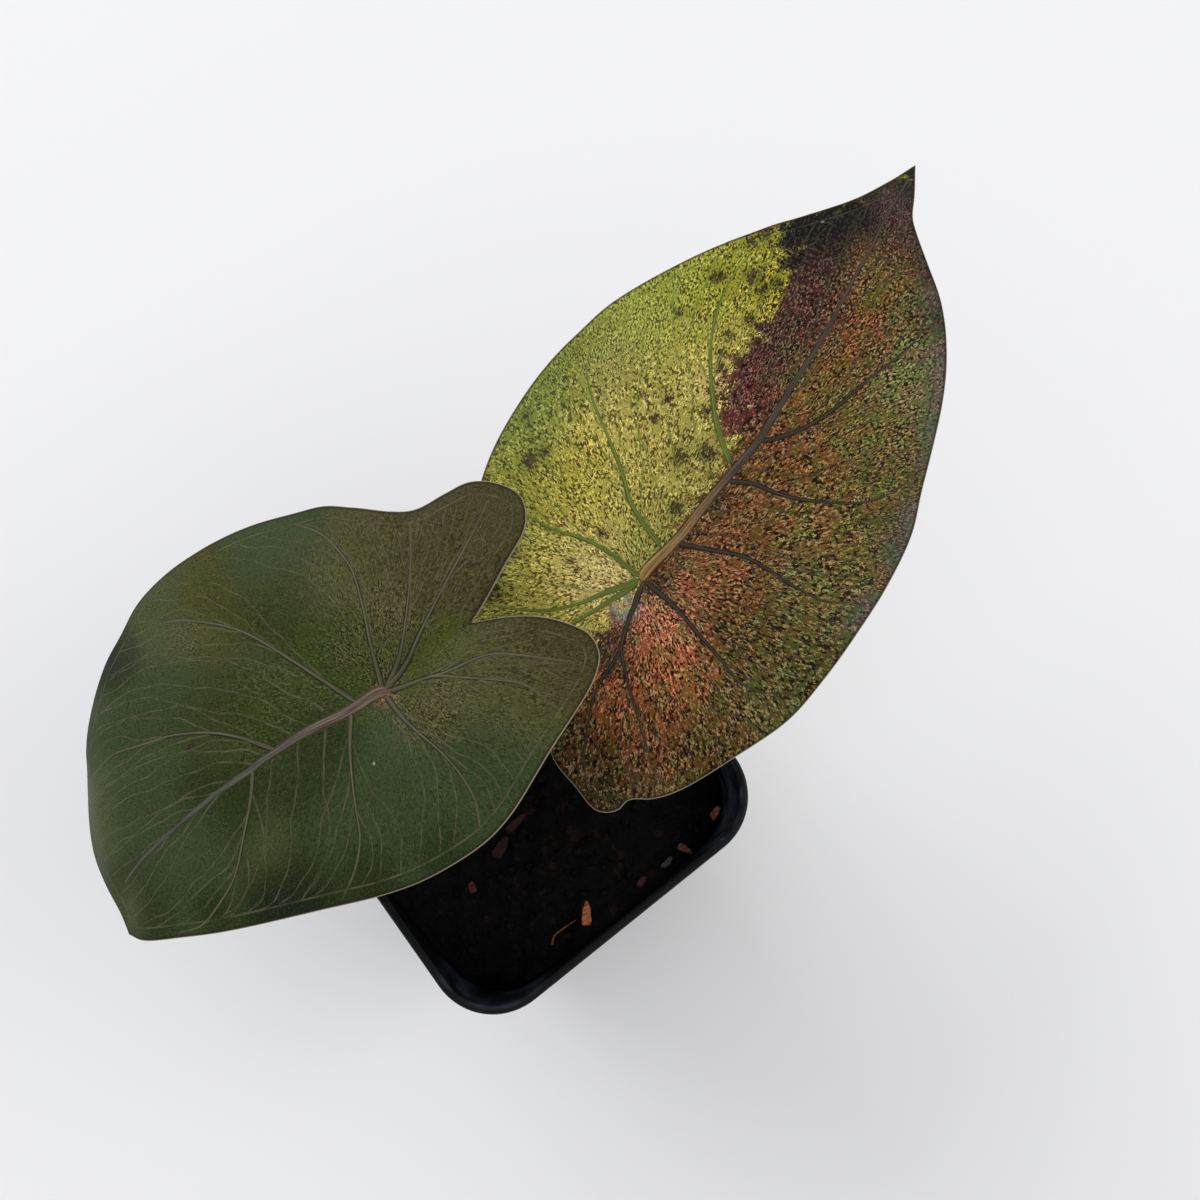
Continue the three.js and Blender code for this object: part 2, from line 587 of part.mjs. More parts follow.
const plant = new THREE.Group();
const hollow = [
  cormGeometry(FIT_GAP),
  petioleGeometry(RIGHT_PETIOLE, FIT_GAP),
  petioleGeometry(LEFT_PETIOLE, FIT_GAP),
];
addMesh(plant, 'pot', potGeometry(), POT_PLASTIC);
addMesh(plant, 'soil', cutAway(soilBlock(), hollow), POTTING_MIX);
addMesh(plant, 'corm_with_roots', cormGeometry(0), CORM_SKIN);
[RIGHT_PETIOLE, LEFT_PETIOLE].forEach((petiole) => {
  addMesh(plant, petiole.name, petioleGeometry(petiole, 0), PETIOLE_SKIN);
});
[[RIGHT_LEAF, VARIEGATED_BLADE], [LEFT_LEAF, GREEN_BLADE]].forEach(([leaf, look]) => {
  const blade = addMesh(plant, leaf.name, leafGeometry(leaf), look);
  blade.applyMatrix4(leafPlacement(leaf));
});
BARK_BITS.forEach((bit) => {
  addMesh(plant, bit.name, barkGeometry(bit), { color: bit.colour, roughness: 0.9, metalness: 0 });
});
addMesh(plant, 'root_fibre', fibreGeometry(), PALE_ROOT);

export default plant;
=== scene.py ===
# %% [markdown]
# ## A potted alocasia, piece by piece
# A young plumbea alocasia stands in a small square nursery pot. Two shield-shaped leaves ride on
# stalks: a dark green one, and beside it, a little lower, a long one that is marbled yellow-green
# on one half and brown, rose and plum on the other. The solid model gives every piece its place
# and size. This lesson loads it first, and then makes a finer skin for each piece in its place.

import math

import bmesh
import bpy
import numpy as np
from mathutils import Euler, Matrix, Vector, noise


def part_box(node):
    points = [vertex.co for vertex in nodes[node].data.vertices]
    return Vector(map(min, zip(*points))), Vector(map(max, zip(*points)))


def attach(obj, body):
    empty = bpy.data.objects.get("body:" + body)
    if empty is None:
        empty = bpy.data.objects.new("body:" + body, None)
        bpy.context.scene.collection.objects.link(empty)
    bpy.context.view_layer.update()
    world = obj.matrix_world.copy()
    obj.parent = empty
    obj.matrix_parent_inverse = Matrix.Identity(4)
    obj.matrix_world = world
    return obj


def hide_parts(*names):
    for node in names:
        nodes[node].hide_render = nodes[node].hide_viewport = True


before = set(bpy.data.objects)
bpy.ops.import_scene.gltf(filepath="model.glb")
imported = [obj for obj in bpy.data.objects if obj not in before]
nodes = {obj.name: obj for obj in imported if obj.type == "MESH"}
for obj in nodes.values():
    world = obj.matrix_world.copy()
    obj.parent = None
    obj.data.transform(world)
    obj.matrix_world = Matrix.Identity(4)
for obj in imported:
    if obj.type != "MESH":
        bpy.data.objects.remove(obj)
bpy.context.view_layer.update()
MM = 0.001
print("solid pieces:", ", ".join(sorted(nodes)))

# %% [markdown]
# ## The camera
# The picture was taken by hand from above the front edge of the pot. A camera can be aimed with a
# tracking constraint or simply turned by two angles. Two angles are used here, because the plant's
# upright direction then stays the picture's upright. The focal length equals the sensor's width,
# which gives the view of a phone held about 20 centimetres over the leaves.

# %% Place the camera
CAMERA_PLACE = Vector((-8.0, -39.5, 342.0)) * MM
CAMERA_TURN = math.radians(-37.7)
CAMERA_TILT = math.radians(74.0)
SENSOR_WIDTH = 36.0
NEAREST_SEEN = 0.01


def add_object(name, data):
    """Puts a camera, a lamp or a mesh into the scene as an object."""
    made = bpy.data.objects.new(name, data)
    bpy.context.scene.collection.objects.link(made)
    return made


camera_data = bpy.data.cameras.new("camera")
camera_data.sensor_width = SENSOR_WIDTH
camera_data.lens = SENSOR_WIDTH
camera_data.clip_start = NEAREST_SEEN
camera = add_object("camera", camera_data)
camera.location = CAMERA_PLACE
camera.rotation_euler = (math.pi / 2 - CAMERA_TILT, 0.0, CAMERA_TURN)
bpy.context.scene.camera = camera
print("camera at", [round(value / MM) for value in CAMERA_PLACE], "mm")

# %% [markdown]
# ## Floor and light
# The pot stands on a pale table in soft daylight. A bright sky all round gives the even light. Two
# wide lamps, a cooler one behind like a window and a warmer one in front like a room, add a faint
# direction and the gentle gloss on the leaves. A hard lamp would throw a crisp shadow, which the
# real table doesn't show.

# %% Make the floor, the sky and the lamps
FLOOR_SIZE = 1.6
FLOOR_COLOUR = (0.83, 0.83, 0.835, 1.0)
FLOOR_ROUGHNESS = 0.8
SKY_COLOUR = (0.98, 0.985, 1.0, 1.0)
SKY_STRENGTH = 0.72
LAMP_SIZE = 1.8
LAMP_AIM = Vector((0.02, 0.0, 0.12))
# Each lamp has its place in metres, its watts and its tint.
LAMPS = {
    "window": ((-0.4, 2.2, 1.7), 31.0, (0.985, 0.99, 1.0)),
    "room": ((1.8, -1.2, 1.8), 21.0, (1.0, 0.99, 0.98)),
}


def new_material(name):
    """A material with one Principled shader, and the tree that it stands in."""
    material = bpy.data.materials.new(name)
    material.use_nodes = True
    tree = material.node_tree
    tree.nodes.clear()
    shader = tree.nodes.new("ShaderNodeBsdfPrincipled")
    output = tree.nodes.new("ShaderNodeOutputMaterial")
    tree.links.new(shader.outputs["BSDF"], output.inputs["Surface"])
    return material, tree, shader


def mesh_from(name, bm):
    """Turns a bmesh into a mesh and frees it."""
    mesh = bpy.data.meshes.new(name)
    bm.to_mesh(mesh)
    bm.free()
    return mesh


floor_bm = bmesh.new()
bmesh.ops.create_grid(floor_bm, x_segments=1, y_segments=1, size=FLOOR_SIZE)
floor_mesh = mesh_from("floor", floor_bm)
floor = add_object("floor", floor_mesh)
floor_material, _, floor_shader = new_material("pale_table")
floor_shader.inputs["Base Color"].default_value = FLOOR_COLOUR
floor_shader.inputs["Roughness"].default_value = FLOOR_ROUGHNESS
floor_mesh.materials.append(floor_material)

world = bpy.data.worlds.new("soft_daylight")
world.use_nodes = True
sky = world.node_tree.nodes["Background"]
sky.inputs["Color"].default_value = SKY_COLOUR
sky.inputs["Strength"].default_value = SKY_STRENGTH
bpy.context.scene.world = world

for name, (place, watts, tint) in LAMPS.items():
    lamp_data = bpy.data.lights.new(name, "AREA")
    lamp_data.size = LAMP_SIZE
    lamp_data.energy = watts
    lamp_data.color = tint
    lamp = add_object(name, lamp_data)
    lamp.location = place
    lamp.rotation_euler = (LAMP_AIM - Vector(place)).to_track_quat("-Z", "Y").to_euler()
bpy.context.scene.view_settings.view_transform = "Standard"
print("lamps:", ", ".join(LAMPS))

# %% [markdown]
# ## Small helpers for nodes
# Every finish below is a tree of shader nodes. Building such trees by hand takes three lines for
# each node, so these helpers put down a node, fill in its sockets and hand back its output.

# %% Define the node helpers
def fill_sockets(tree, sockets, inputs):
    """Gives each named socket a plain value or a link to another node's output."""
    for name, value in (inputs or {}).items():
        if isinstance(value, bpy.types.NodeSocket):
            tree.links.new(value, sockets[name])
        else:
            sockets[name].default_value = value


def add_node(tree, kind, settings=None, inputs=None):
    """One shader node. Inputs hold plain values or the outputs of other nodes."""
    made = tree.nodes.new("ShaderNode" + kind)
    for name, value in (settings or {}).items():
        setattr(made, name, value)
    fill_sockets(tree, made.inputs, inputs)
    return made


def maths(tree, operation, first, second=0.0):
    return add_node(tree, "Math", {"operation": operation}, {0: first, 1: second}).outputs[0]


def times(tree, first, second):
    return maths(tree, "MULTIPLY", first, second)


def plus(tree, first, second):
    return maths(tree, "ADD", first, second)


def minus(tree, first, second):
    return maths(tree, "SUBTRACT", first, second)


def soft_step(tree, value, low, high):
    """0 below low and 1 above high, with a soft rise between them. High may be the lower one."""
    settings = {"interpolation_type": "SMOOTHSTEP"}
    inputs = {"Value": value, "From Min": low, "From Max": high}
    return add_node(tree, "MapRange", settings, inputs).outputs["Result"]


def mix_values(tree, factor, first, second):
    made = add_node(tree, "Mix", {"data_type": "FLOAT"}, {0: factor, 2: first, 3: second})
    return made.outputs[0]


def mix_colours(tree, factor, first, second, blend="MIX"):
    settings = {"data_type": "RGBA", "blend_type": blend}
    made = add_node(tree, "Mix", settings, {0: factor, 6: first, 7: second})
    return made.outputs[2]


def scaled(tree, vector, factor):
    """A place or a colour times a number that may be another node's output."""
    made = add_node(tree, "VectorMath", {"operation": "SCALE"}, {0: vector, "Scale": factor})
    return made.outputs[0]


def parts_of(tree, vector):
    """The X, Y and Z of a place or a colour."""
    return add_node(tree, "SeparateXYZ", None, {0: vector}).outputs


def combine(tree, x, y, z):
    return add_node(tree, "CombineXYZ", None, {"X": x, "Y": y, "Z": z}).outputs[0]


def stretched(tree, place, scale):
    """A place whose axes are stretched or shortened, for noise that runs one way."""
    return add_node(tree, "Mapping", None, {"Vector": place, "Scale": scale}).outputs[0]


def read_attribute(tree, name, output="Vector"):
    return add_node(tree, "Attribute", {"attribute_name": name}).outputs[output]


def object_place(tree):
    """A point's place on the piece, in millimetres."""
    return scaled(tree, add_node(tree, "TexCoord").outputs["Object"], 1 / MM)


def noise_at(tree, place, scale, detail=2.0, rough=0.5):
    inputs = {"Vector": place, "Scale": scale, "Detail": detail, "Roughness": rough}
    return add_node(tree, "TexNoise", None, inputs).outputs["Fac"]


def add_bump(tree, shader, height, depth_mm, strength=1.0):
    """Fine relief: the height is 0 to 1, and the depth is what 1 means on the real surface."""
    inputs = {"Height": height, "Distance": depth_mm * MM, "Strength": strength}
    bump = add_node(tree, "Bump", None, inputs)
    tree.links.new(bump.outputs["Normal"], shader.inputs["Normal"])


def colour(hex_code, alpha=True):
    """A colour from its usual hexadecimal code, as the linear light that shaders work in."""
    parts = [int(hex_code[i:i + 2], 16) / 255 for i in (0, 2, 4)]
    linear = [p / 12.92 if p <= 0.04045 else ((p + 0.055) / 1.055) ** 2.4 for p in parts]
    return (*linear, 1.0) if alpha else tuple(linear)


print("mid grey in linear light:", round(colour("808080")[0], 3))

# %% [markdown]
# ## Small helpers for shapes
# Most of this plant's skins are a flat grid that is bent into place: a grid wrapped round is a
# stalk, and one drawn together at its middle is a leaf. The grid comes from Blender's own grid
# maker, and a formula then says where each of its points goes. Points that meet are merged, so
# seams and poles are closed.

# %% Define the shape helpers
def shaped_grid(columns, rows, place, merge=1e-4, notes=None, fill=False):
    """A grid of columns by rows, each point moved to place(u, v), where u and v run 0 to 1.

    Where notes names a vertex attribute, place gives three more numbers, which go there.
    With fill, the small holes that are left at the poles are closed by a face."""
    bm = bmesh.new()
    bmesh.ops.create_grid(bm, x_segments=columns, y_segments=rows, size=1)
    layer = bm.verts.layers.float_vector.new(notes) if notes else None
    flat = np.array([vert.co[:2] for vert in bm.verts])
    places = place((flat[:, 0] + 1) / 2, (flat[:, 1] + 1) / 2)
    for vert, point in zip(bm.verts, places):
        vert.co = point[:3]
        if layer:
            vert[layer] = point[3:]
    bmesh.ops.remove_doubles(bm, verts=bm.verts, dist=merge)
    if fill:
        bmesh.ops.holes_fill(bm, edges=[edge for edge in bm.edges if edge.is_boundary])
    bmesh.ops.recalc_face_normals(bm, faces=bm.faces)
    return bm


def join_into(bm, other):
    """Adds the second bmesh's pieces to the first one and frees the second."""
    mesh = mesh_from("part", other)
    bm.from_mesh(mesh)
    bpy.data.meshes.remove(mesh)


def place_piece(name, mesh, material, replaced=()):
    """Makes a mesh in metres a piece that rides on the plant's only body."""
    mesh.shade_smooth()
    mesh.materials.append(material)
    piece = add_object(name, mesh)
    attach(piece, "root")
    if replaced:
        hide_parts(*replaced)
    mesh.calc_loop_triangles()
    print(name, len(mesh.loop_triangles), "triangles")
    return piece


def make_piece(name, bm, material, replaced=()):
    """Turns a bmesh in millimetres into a piece."""
    bm.transform(Matrix.Scale(MM, 4))
    return place_piece(name, mesh_from(name, bm), material, replaced)


def set_attribute(mesh, name, kind, values):
    """Writes one value, vector or colour for each point of the mesh."""
    key = {"FLOAT": "value", "FLOAT_VECTOR": "vector", "FLOAT_COLOR": "color"}[kind]
    layer = mesh.attributes.new(name, kind, "POINT")
    layer.data.foreach_set(key, np.ascontiguousarray(values, dtype=np.float32).ravel())

# %% [markdown]
# ## How a leaf is drawn
# An aroid leaf is held from below, away from its edge. So each leaf is drawn flat round the point
# where its stalk meets it: x runs along the midrib to the tip, y runs to the left, in millimetres.
# The two margins are smooth curves from the tip round to the notch between the back lobes. The
# points are the same as in the solid model, so the skin lies where the solid is.

# %% Draw the right leaf
RIGHT_LEAF = {
    "name": "leaf_right", "slot": "leaf_variegated",
    "attachment": (36.5, 6.2, 134.0), "heading": 14.3, "pitch": -7.0,
    "fold": 0.22, "arch": 0.008, "bow": 0.001, "tip_start": 70, "tip_droop": 0.004,
    "funnel_depth": 2.0, "pleat": 0.8, "curl": 1.2, "curl_side": -40, "curl_spread": 45,
    "centreline": [(-20, 0.2), (0, 0), (23, -1), (46, 0), (70, 3.4), (88, 6.8), (104, 9.9)],
    "left_margin": [
        (104, 9.9), (96, 11.3), (86.5, 14), (76.5, 19.3), (69.5, 24.3), (55, 32.7),
        (41.5, 38.4), (31, 40.4), (20, 41.1), (9, 39.6), (-2, 36), (-13, 30.5), (-24, 24.5),
        (-33, 19), (-37.5, 13.5), (-36.5, 9), (-31.5, 5.2), (-25, 2.2), (-20, 0.2),
    ],
    "right_margin": [
        (104, 9.9), (96.6, 5.6), (91.2, 2.7), (88.4, 0), (83.7, -5.6), (77.8, -12.9),
        (69.7, -19.2), (61.9, -23.6), (45.3, -30.5), (37, -34), (26.4, -36), (16.3, -36.7),
        (6.6, -36.9), (-3.7, -36.2), (-15, -32.6), (-25.5, -28.4), (-29.6, -25.6),
        (-32.5, -22.3), (-35, -21.9), (-37.3, -19.2), (-36.4, -13.5), (-34.4, -6.4),
        (-28, -2.6), (-20, 0.2),
    ],
    "ribs": [
        [(7, 2), (10, 9.6), (18, 21.3), (26.5, 33), (33, 37.5)],
        [(27.5, 1), (31.7, 6.4), (43.6, 16.7), (57, 22.5), (67, 22.5)],
        [(0, 1), (0.6, 8.4), (-2, 18.4), (-2.5, 30)],
        [(0, 0.8), (-9.9, 6), (-18.2, 15.3), (-22, 22)],
        [(0, 0.8), (-9, 3.5), (-20, 7.5), (-31, 13)],
        [(34, -1.5), (42.5, -7.2), (55.6, -10.6), (68, -12.6), (75, -11.5)],
        [(24.5, -1.5), (27.8, -10.1), (32.3, -19.1), (42.6, -28)],
        [(9, -1), (14.5, -12.8), (15.8, -23.4), (20, -34)],
        [(1, -1), (-1.6, -14.2), (-3.9, -25), (1, -34.5)],
        [(0, -0.8), (-11.9, -4.9), (-18.1, -12.3), (-25.7, -25)],
        [(0, -0.8), (-11.9, -4.9), (-25.5, -8.1), (-34, -14.5)],
    ],
}
print("right leaf:", len(RIGHT_LEAF["ribs"]), "side ribs")

# %% Draw the left leaf
LEFT_LEAF = {
    "name": "leaf_left", "slot": "leaf_green",
    "attachment": (-11.7, 14.7, 146.0), "heading": 169.3, "pitch": 17.0,
    "fold": 0.16, "arch": 0.0068, "bow": 0.0011, "tip_start": 45, "tip_droop": 0.006,
    "funnel_depth": 2.2, "pleat": 0.8, "curl": 2.4, "curl_side": -8, "curl_spread": 26,
    "centreline": [(-18.4, -2.7), (0, 0), (21, -0.5), (38, 0.9), (53, 3), (61, 6), (65.4, 13)],
    "left_margin": [
        (65.4, 13), (62.3, 15.4), (53.2, 19), (44.1, 22.1), (25.9, 27), (15.3, 29.7),
        (7.2, 30.8), (-1.6, 30.6), (-8.4, 28.9), (-17.1, 24.8), (-26.1, 19.7), (-32.1, 16.3),
        (-35.2, 13), (-35.4, 9.5), (-33, 6), (-29.4, 2.7), (-24.1, -0.4), (-18.4, -2.7),
    ],
    "right_margin": [
        (65.4, 13), (65.6, 8.6), (67, 2.5), (67.8, -4), (66.6, -10.4), (64, -16.6),
        (59.4, -22.8), (52.8, -29.2), (46.3, -35.4), (39.6, -40.4), (31.6, -42.4),
        (21, -41.8), (8, -39.3), (-2.4, -35.8), (-8.8, -31.1), (-14.9, -26.4), (-18.6, -24.6),
        (-24.4, -24.3), (-29.1, -23.8), (-33.3, -20.9), (-35.9, -16.5), (-34.4, -12),
        (-28.2, -7.9), (-23.6, -5.3), (-18.4, -2.7),
    ],
    "ribs": [
        [(0, 0.5), (-9.9, 2.8), (-18.5, 8.4), (-25.2, 17.6)],
        [(-9.9, 2.8), (-20.4, 4.5), (-30, 11)],
        [(1.5, 0.5), (-2.3, 9), (-5.8, 18.7), (-4, 29)],
        [(7.4, 0.6), (11, 9.8), (14.4, 19.6), (22, 27)],
        [(28, 1), (33.2, 8.7), (38.7, 14.8), (52.9, 18.4)],
        [(1, -1), (-3.1, -14), (-4, -22), (3, -35.5)],
        [(5.5, -1.5), (11.7, -11.7), (19.7, -23), (32.1, -32.6), (43, -36)],
        [(22, -1.2), (32.4, -9.6), (47.3, -15), (60, -16.8)],
        [(0, -0.5), (-10, -4.5), (-20, -11), (-30, -19.5)],
    ],
}
print("left leaf:", len(LEFT_LEAF["ribs"]), "side ribs")

# %% [markdown]
# ## A smooth curve through a few points
# Margins, veins and stalks are all smooth lines through a few chosen points. Blender's curve
# objects could draw them, but a leaf's formula needs the points themselves, evenly spaced. A
# Catmull-Rom spline passes through its points, and its centripetal form, which spaces its knots by
# the root of the distance, makes no loops where the points come close together.

# %% Define the smooth curve
SPLINE_SAMPLES = 40
RIB_POINTS = 8


def lengths(line):
    """How far along a line each of its points lies."""
    return np.r_[0, np.cumsum(np.linalg.norm(np.diff(line, axis=0), axis=1))]


def resampled(line, steps):
    """The same line with evenly spaced points: steps + 1 of them."""
    walked = lengths(line)
    wanted = np.linspace(0, walked[-1], steps + 1)
    return np.column_stack([np.interp(wanted, walked, column) for column in line.T])


def smooth_line(points, steps):
    """Evenly spaced points on the curve through the given ones: steps + 1 of them."""
    given = np.array(points, float)
    ends = [2 * given[0] - given[1], 2 * given[-1] - given[-2]]
    knots = np.vstack([ends[0], given, ends[1]])
    pieces = []
    along = np.linspace(0, 1, SPLINE_SAMPLES, endpoint=False)[:, None]
    for before, start, stop, after in zip(knots, knots[1:], knots[2:], knots[3:]):
        gap = [np.sqrt(np.linalg.norm(b - a)) or 1.0
               for a, b in ((before, start), (start, stop), (stop, after))]
        lead = (stop - start) - (stop - before) * gap[1] / (gap[0] + gap[1])
        lead = lead + (start - before) * gap[1] / gap[0]
        tail = (stop - start) - (after - start) * gap[1] / (gap[1] + gap[2])
        tail = tail + (after - stop) * gap[1] / gap[2]
        cubic = 2 * start - 2 * stop + lead + tail
        square = -3 * start + 3 * stop - 2 * lead - tail
        pieces.append(start + lead * along + square * along**2 + cubic * along**3)
    return resampled(np.vstack([*pieces, given[-1:]]), steps)


MARGIN_STEPS = 200
for leaf in (RIGHT_LEAF, LEFT_LEAF):
    leaf["left_line"] = smooth_line(leaf["left_margin"], MARGIN_STEPS)
    leaf["right_line"] = smooth_line(leaf["right_margin"], MARGIN_STEPS)
    leaf["outline"] = np.vstack([leaf["left_line"][:-1], leaf["right_line"][:0:-1]])
    leaf["rib_lines"] = [smooth_line(points, RIB_POINTS) for points in leaf["ribs"]]
    print(leaf["name"], "outline points:", len(leaf["outline"]))

# %% [markdown]
# ## The swell of the blade
# The real blade isn't flat: its halves rise from the midrib and arch over, the tip and lobes hang,
# the middle dips into a funnel over the stalk, the blade swells between its ribs and its margin
# curls and waves. It could be sculpted or simulated. A formula is used, the same one as in the
# solid model, because the veins, the ribs and the colours can then all ask it for their height.

# %% Define the blade's height
FOLD_WIDTH = 3.0
FUNNEL_RADIUS = 7.0
PLEAT_WIDTH = 4.5
TROUGH_DEPTH = 1.3
TROUGH_WIDTH = 3.0
TROUGH_START = 6.0
WAVE_HEIGHT = 0.5
WAVE_COUNT = 9
WAVE_POWER = 4
CURL_POWER = 9


def bell(value, width):
    """1 where the value is 0, and less the further it is from 0."""
    return np.exp(-((value / width) ** 2))


def centre_offset(leaf, x):
    """Where the line between the two halves lies, beside the straight x axis."""
    line = np.array(leaf["centreline"], float)
    return np.interp(x, line[:, 0], line[:, 1])


def distance_to_lines(lines, x, y):
    """How far each point is from the nearest of some polylines."""
    nearest = np.full(np.shape(x), np.inf)
    for line in lines:
        for start, stop in zip(line, line[1:]):
            step = stop - start
            share = ((x - start[0]) * step[0] + (y - start[1]) * step[1]) / (step @ step)
            share = np.clip(share, 0, 1)
            away = np.hypot(x - start[0] - share * step[0], y - start[1] - share * step[1])
            nearest = np.minimum(nearest, away)
    return nearest


def distance_to_outline(outline, x, y):
    """How far each point is from a closed outline."""
    return distance_to_lines([np.vstack([outline, outline[:1]])], x, y)


def reach_towards(outline, x, y):
    """How far an outline lies from the stalk in the direction of each point."""
    turns = np.arctan2(outline[:, 1], outline[:, 0])
    order = np.argsort(turns)
    reach = np.hypot(outline[:, 0], outline[:, 1])[order]
    return np.interp(np.arctan2(y, x), turns[order], reach, period=2 * math.pi)


def out_fraction(leaf, x, y):
    """How far out a point lies on the way from the stalk to the margin, 0 to 1."""
    return np.minimum(1.0, np.hypot(x, y) / reach_towards(leaf["outline"], x, y))


def blade_height(leaf, x, y, out):
    """The upper face's height over the leaf's own plane, in millimetres."""
    side = y - centre_offset(leaf, x)
    turn = np.degrees(np.arctan2(y, x))
    valley = leaf["fold"] * (np.hypot(side, FOLD_WIDTH) - FOLD_WIDTH) - leaf["arch"] * side**2
    past = np.maximum(0, x - leaf["tip_start"])
    droop = leaf["bow"] * x**2 + leaf["tip_droop"] * past**2
    funnel = leaf["funnel_depth"] * bell(np.hypot(x, y), FUNNEL_RADIUS)
    pleat = leaf["pleat"] * (1 - bell(distance_to_lines(leaf["rib_lines"], x, y), PLEAT_WIDTH))
    behind = np.clip(-x / TROUGH_START, 0, 1)
    trough = TROUGH_DEPTH * behind * bell(side, TROUGH_WIDTH)
    curl = leaf["curl"] * bell(turn - leaf["curl_side"], leaf["curl_spread"]) * out**CURL_POWER
    wave = WAVE_HEIGHT * np.sin(np.radians(WAVE_COUNT * turn)) * out**WAVE_POWER
    return valley - droop - funnel + pleat - trough - curl + wave


def leaf_placement(leaf):
    """The turn and shift that take a leaf from its own frame to the plant's, still in mm."""
    turn = Matrix.Rotation(math.radians(leaf["heading"]), 4, "Z")
    tilt = Matrix.Rotation(math.radians(leaf["pitch"]), 4, "Y")
    return Matrix.Translation(leaf["attachment"]) @ turn @ tilt


for leaf in (RIGHT_LEAF, LEFT_LEAF):
    low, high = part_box(leaf["name"])
    print(leaf["name"], "solid spans", [round(v / MM, 1) for v in (*low, *high)])

# %% [markdown]
# ## The blade
# A real blade is about half a millimetre thick. It could be one sheet with a Solidify modifier,
# but its margin should be a rounded edge that catches the light, so the sheet is extruded to its
# lower face and the rim is beveled. The sheet is a grid whose rows are rings round the stalk.

# %% Define the blade's mesh
BLADE_THICKNESS = 0.45
RIM_ROUND = 0.13
BLADE_COLUMNS = 400
BLADE_ROWS = 90
SHARP_EDGE = math.radians(50)


def margin_at(leaf, u):
    """Points on the margin: u = 0 is the tip, 0.5 the notch, and 1 the tip again."""
    left = np.clip(2 * u, 0, 1) * MARGIN_STEPS
    right = np.clip(2 - 2 * u, 0, 1) * MARGIN_STEPS
    steps = np.arange(MARGIN_STEPS + 1)
    on_left = [np.interp(left, steps, leaf["left_line"][:, k]) for k in (0, 1)]
    on_right = [np.interp(right, steps, leaf["right_line"][:, k]) for k in (0, 1)]
    return [np.where(u <= 0.5, a, b) for a, b in zip(on_left, on_right)]


def blade_bmesh(leaf):
    """The closed blade in the leaf's own frame, in millimetres."""
    def place(u, out):
        margin_x, margin_y = margin_at(leaf, u)
        x, y = margin_x * out, margin_y * out
        no_vein = [np.ones_like(x), np.zeros_like(x), np.zeros_like(x)]
        return np.column_stack([x, y, blade_height(leaf, x, y, out), *no_vein])

    bm = shaped_grid(BLADE_COLUMNS, BLADE_ROWS, place, notes="vein_place")
    if sum(face.normal.z for face in bm.faces) < 0:
        bmesh.ops.reverse_faces(bm, faces=bm.faces)
    grown = bmesh.ops.extrude_face_region(bm, geom=list(bm.faces), use_keep_orig=True)
    lower = [item for item in grown["geom"] if isinstance(item, bmesh.types.BMVert)]
    bmesh.ops.translate(bm, verts=lower, vec=(0, 0, -BLADE_THICKNESS))
    bmesh.ops.recalc_face_normals(bm, faces=bm.faces)
    rim = [edge for edge in bm.edges if edge.calc_face_angle(0) > SHARP_EDGE]
    bmesh.ops.bevel(bm, geom=rim, offset=RIM_ROUND, offset_type="OFFSET", segments=2,
                    profile=0.5, affect="EDGES", material=-1)
    return bm


print("blade grid:", BLADE_COLUMNS, "columns by", BLADE_ROWS, "rows")

# %% [markdown]
# ## The pattern of veins
# An aroid leaf has one midrib, a few strong side veins that leave it or the stalk's end, a vein that
# runs round just inside the margin, and fine ones between. The strong ones are drawn from the picture.
# The fine ones could be drawn too, but on the real leaf each follows its strong neighbour and then
# swings away towards the next one, so a rule that does this makes them all.

# %% Draw the strong veins
RIGHT_LEAF["midrib"] = [
    (0, 0), (1.5, 0.4), (10.9, -0.8), (23.4, -1), (33.5, -1.3), (46.3, 0), (57.8, 1.2), (69.8, 3.4),
    (79.3, 5), (88.1, 6.9), (99.5, 8.8),
]
RIGHT_LEAF["side_veins"] = [
    [(27.2, -0.4), (31.7, 6.4), (38.1, 12.5), (43.6, 16.7), (50.2, 20.2), (57.8, 22.3), (66, 22.6)],
    [(7.3, 0.6), (10.1, 9.6), (14.1, 15), (18, 21.3), (22, 27.9), (26.5, 33.2), (33, 37)],
    [(0.8, 0.5), (0.6, 8.4), (-0.4, 13.3), (-2.1, 18.4), (-2.9, 26), (-2, 32.5)],
    [(0.4, 0.5), (-5, 3.5), (-9.9, 6), (-14.7, 10.1), (-18.2, 15.3), (-21.6, 22)],
    [(0, 0.4), (-6, 2.2), (-13, 4.6), (-21, 7.6), (-31.5, 12.4)],
    [(-0.1, -0.4), (-8.3, -3.2), (-13, -5.1), (-20.3, -5.8), (-25.5, -8.1), (-31, -11.3), (-35, -14.9)],
    [(-0.1, -0.4), (-8.3, -3.2), (-11.9, -4.9), (-15.4, -8.7), (-21.4, -16.9), (-25, -22), (-26.5, -26)],
    [(0.6, -0.6), (-0.1, -7.6), (-1.6, -14.2), (-2.8, -19.9), (-3.9, -24.7), (-3.4, -28.6), (1, -34.9)],
    [(9.3, -0.8), (12.1, -7), (14.7, -12.8), (15.3, -17.7), (15.8, -23.4), (17, -28.8), (21.5, -34.4)],
    [(24.3, -1.2), (26.7, -5.6), (27.8, -10.1), (29.7, -14.8), (35, -22.5), (38.6, -25.4), (45, -27.9)],
    [(33.8, -1.3), (37.6, -4.6), (42.5, -7.2), (48.6, -9.1), (55.6, -10.3), (68.1, -12.7), (77, -10.4)],
]
LEFT_LEAF["midrib"] = [
    (0, 0), (1.7, -0.6), (7.4, -0.1), (20.8, -0.5), (29.2, 0.1), (38, 0.9), (47.3, 2.2), (52.7, 3),
    (56.8, 3.8), (61.4, 4.9),
]
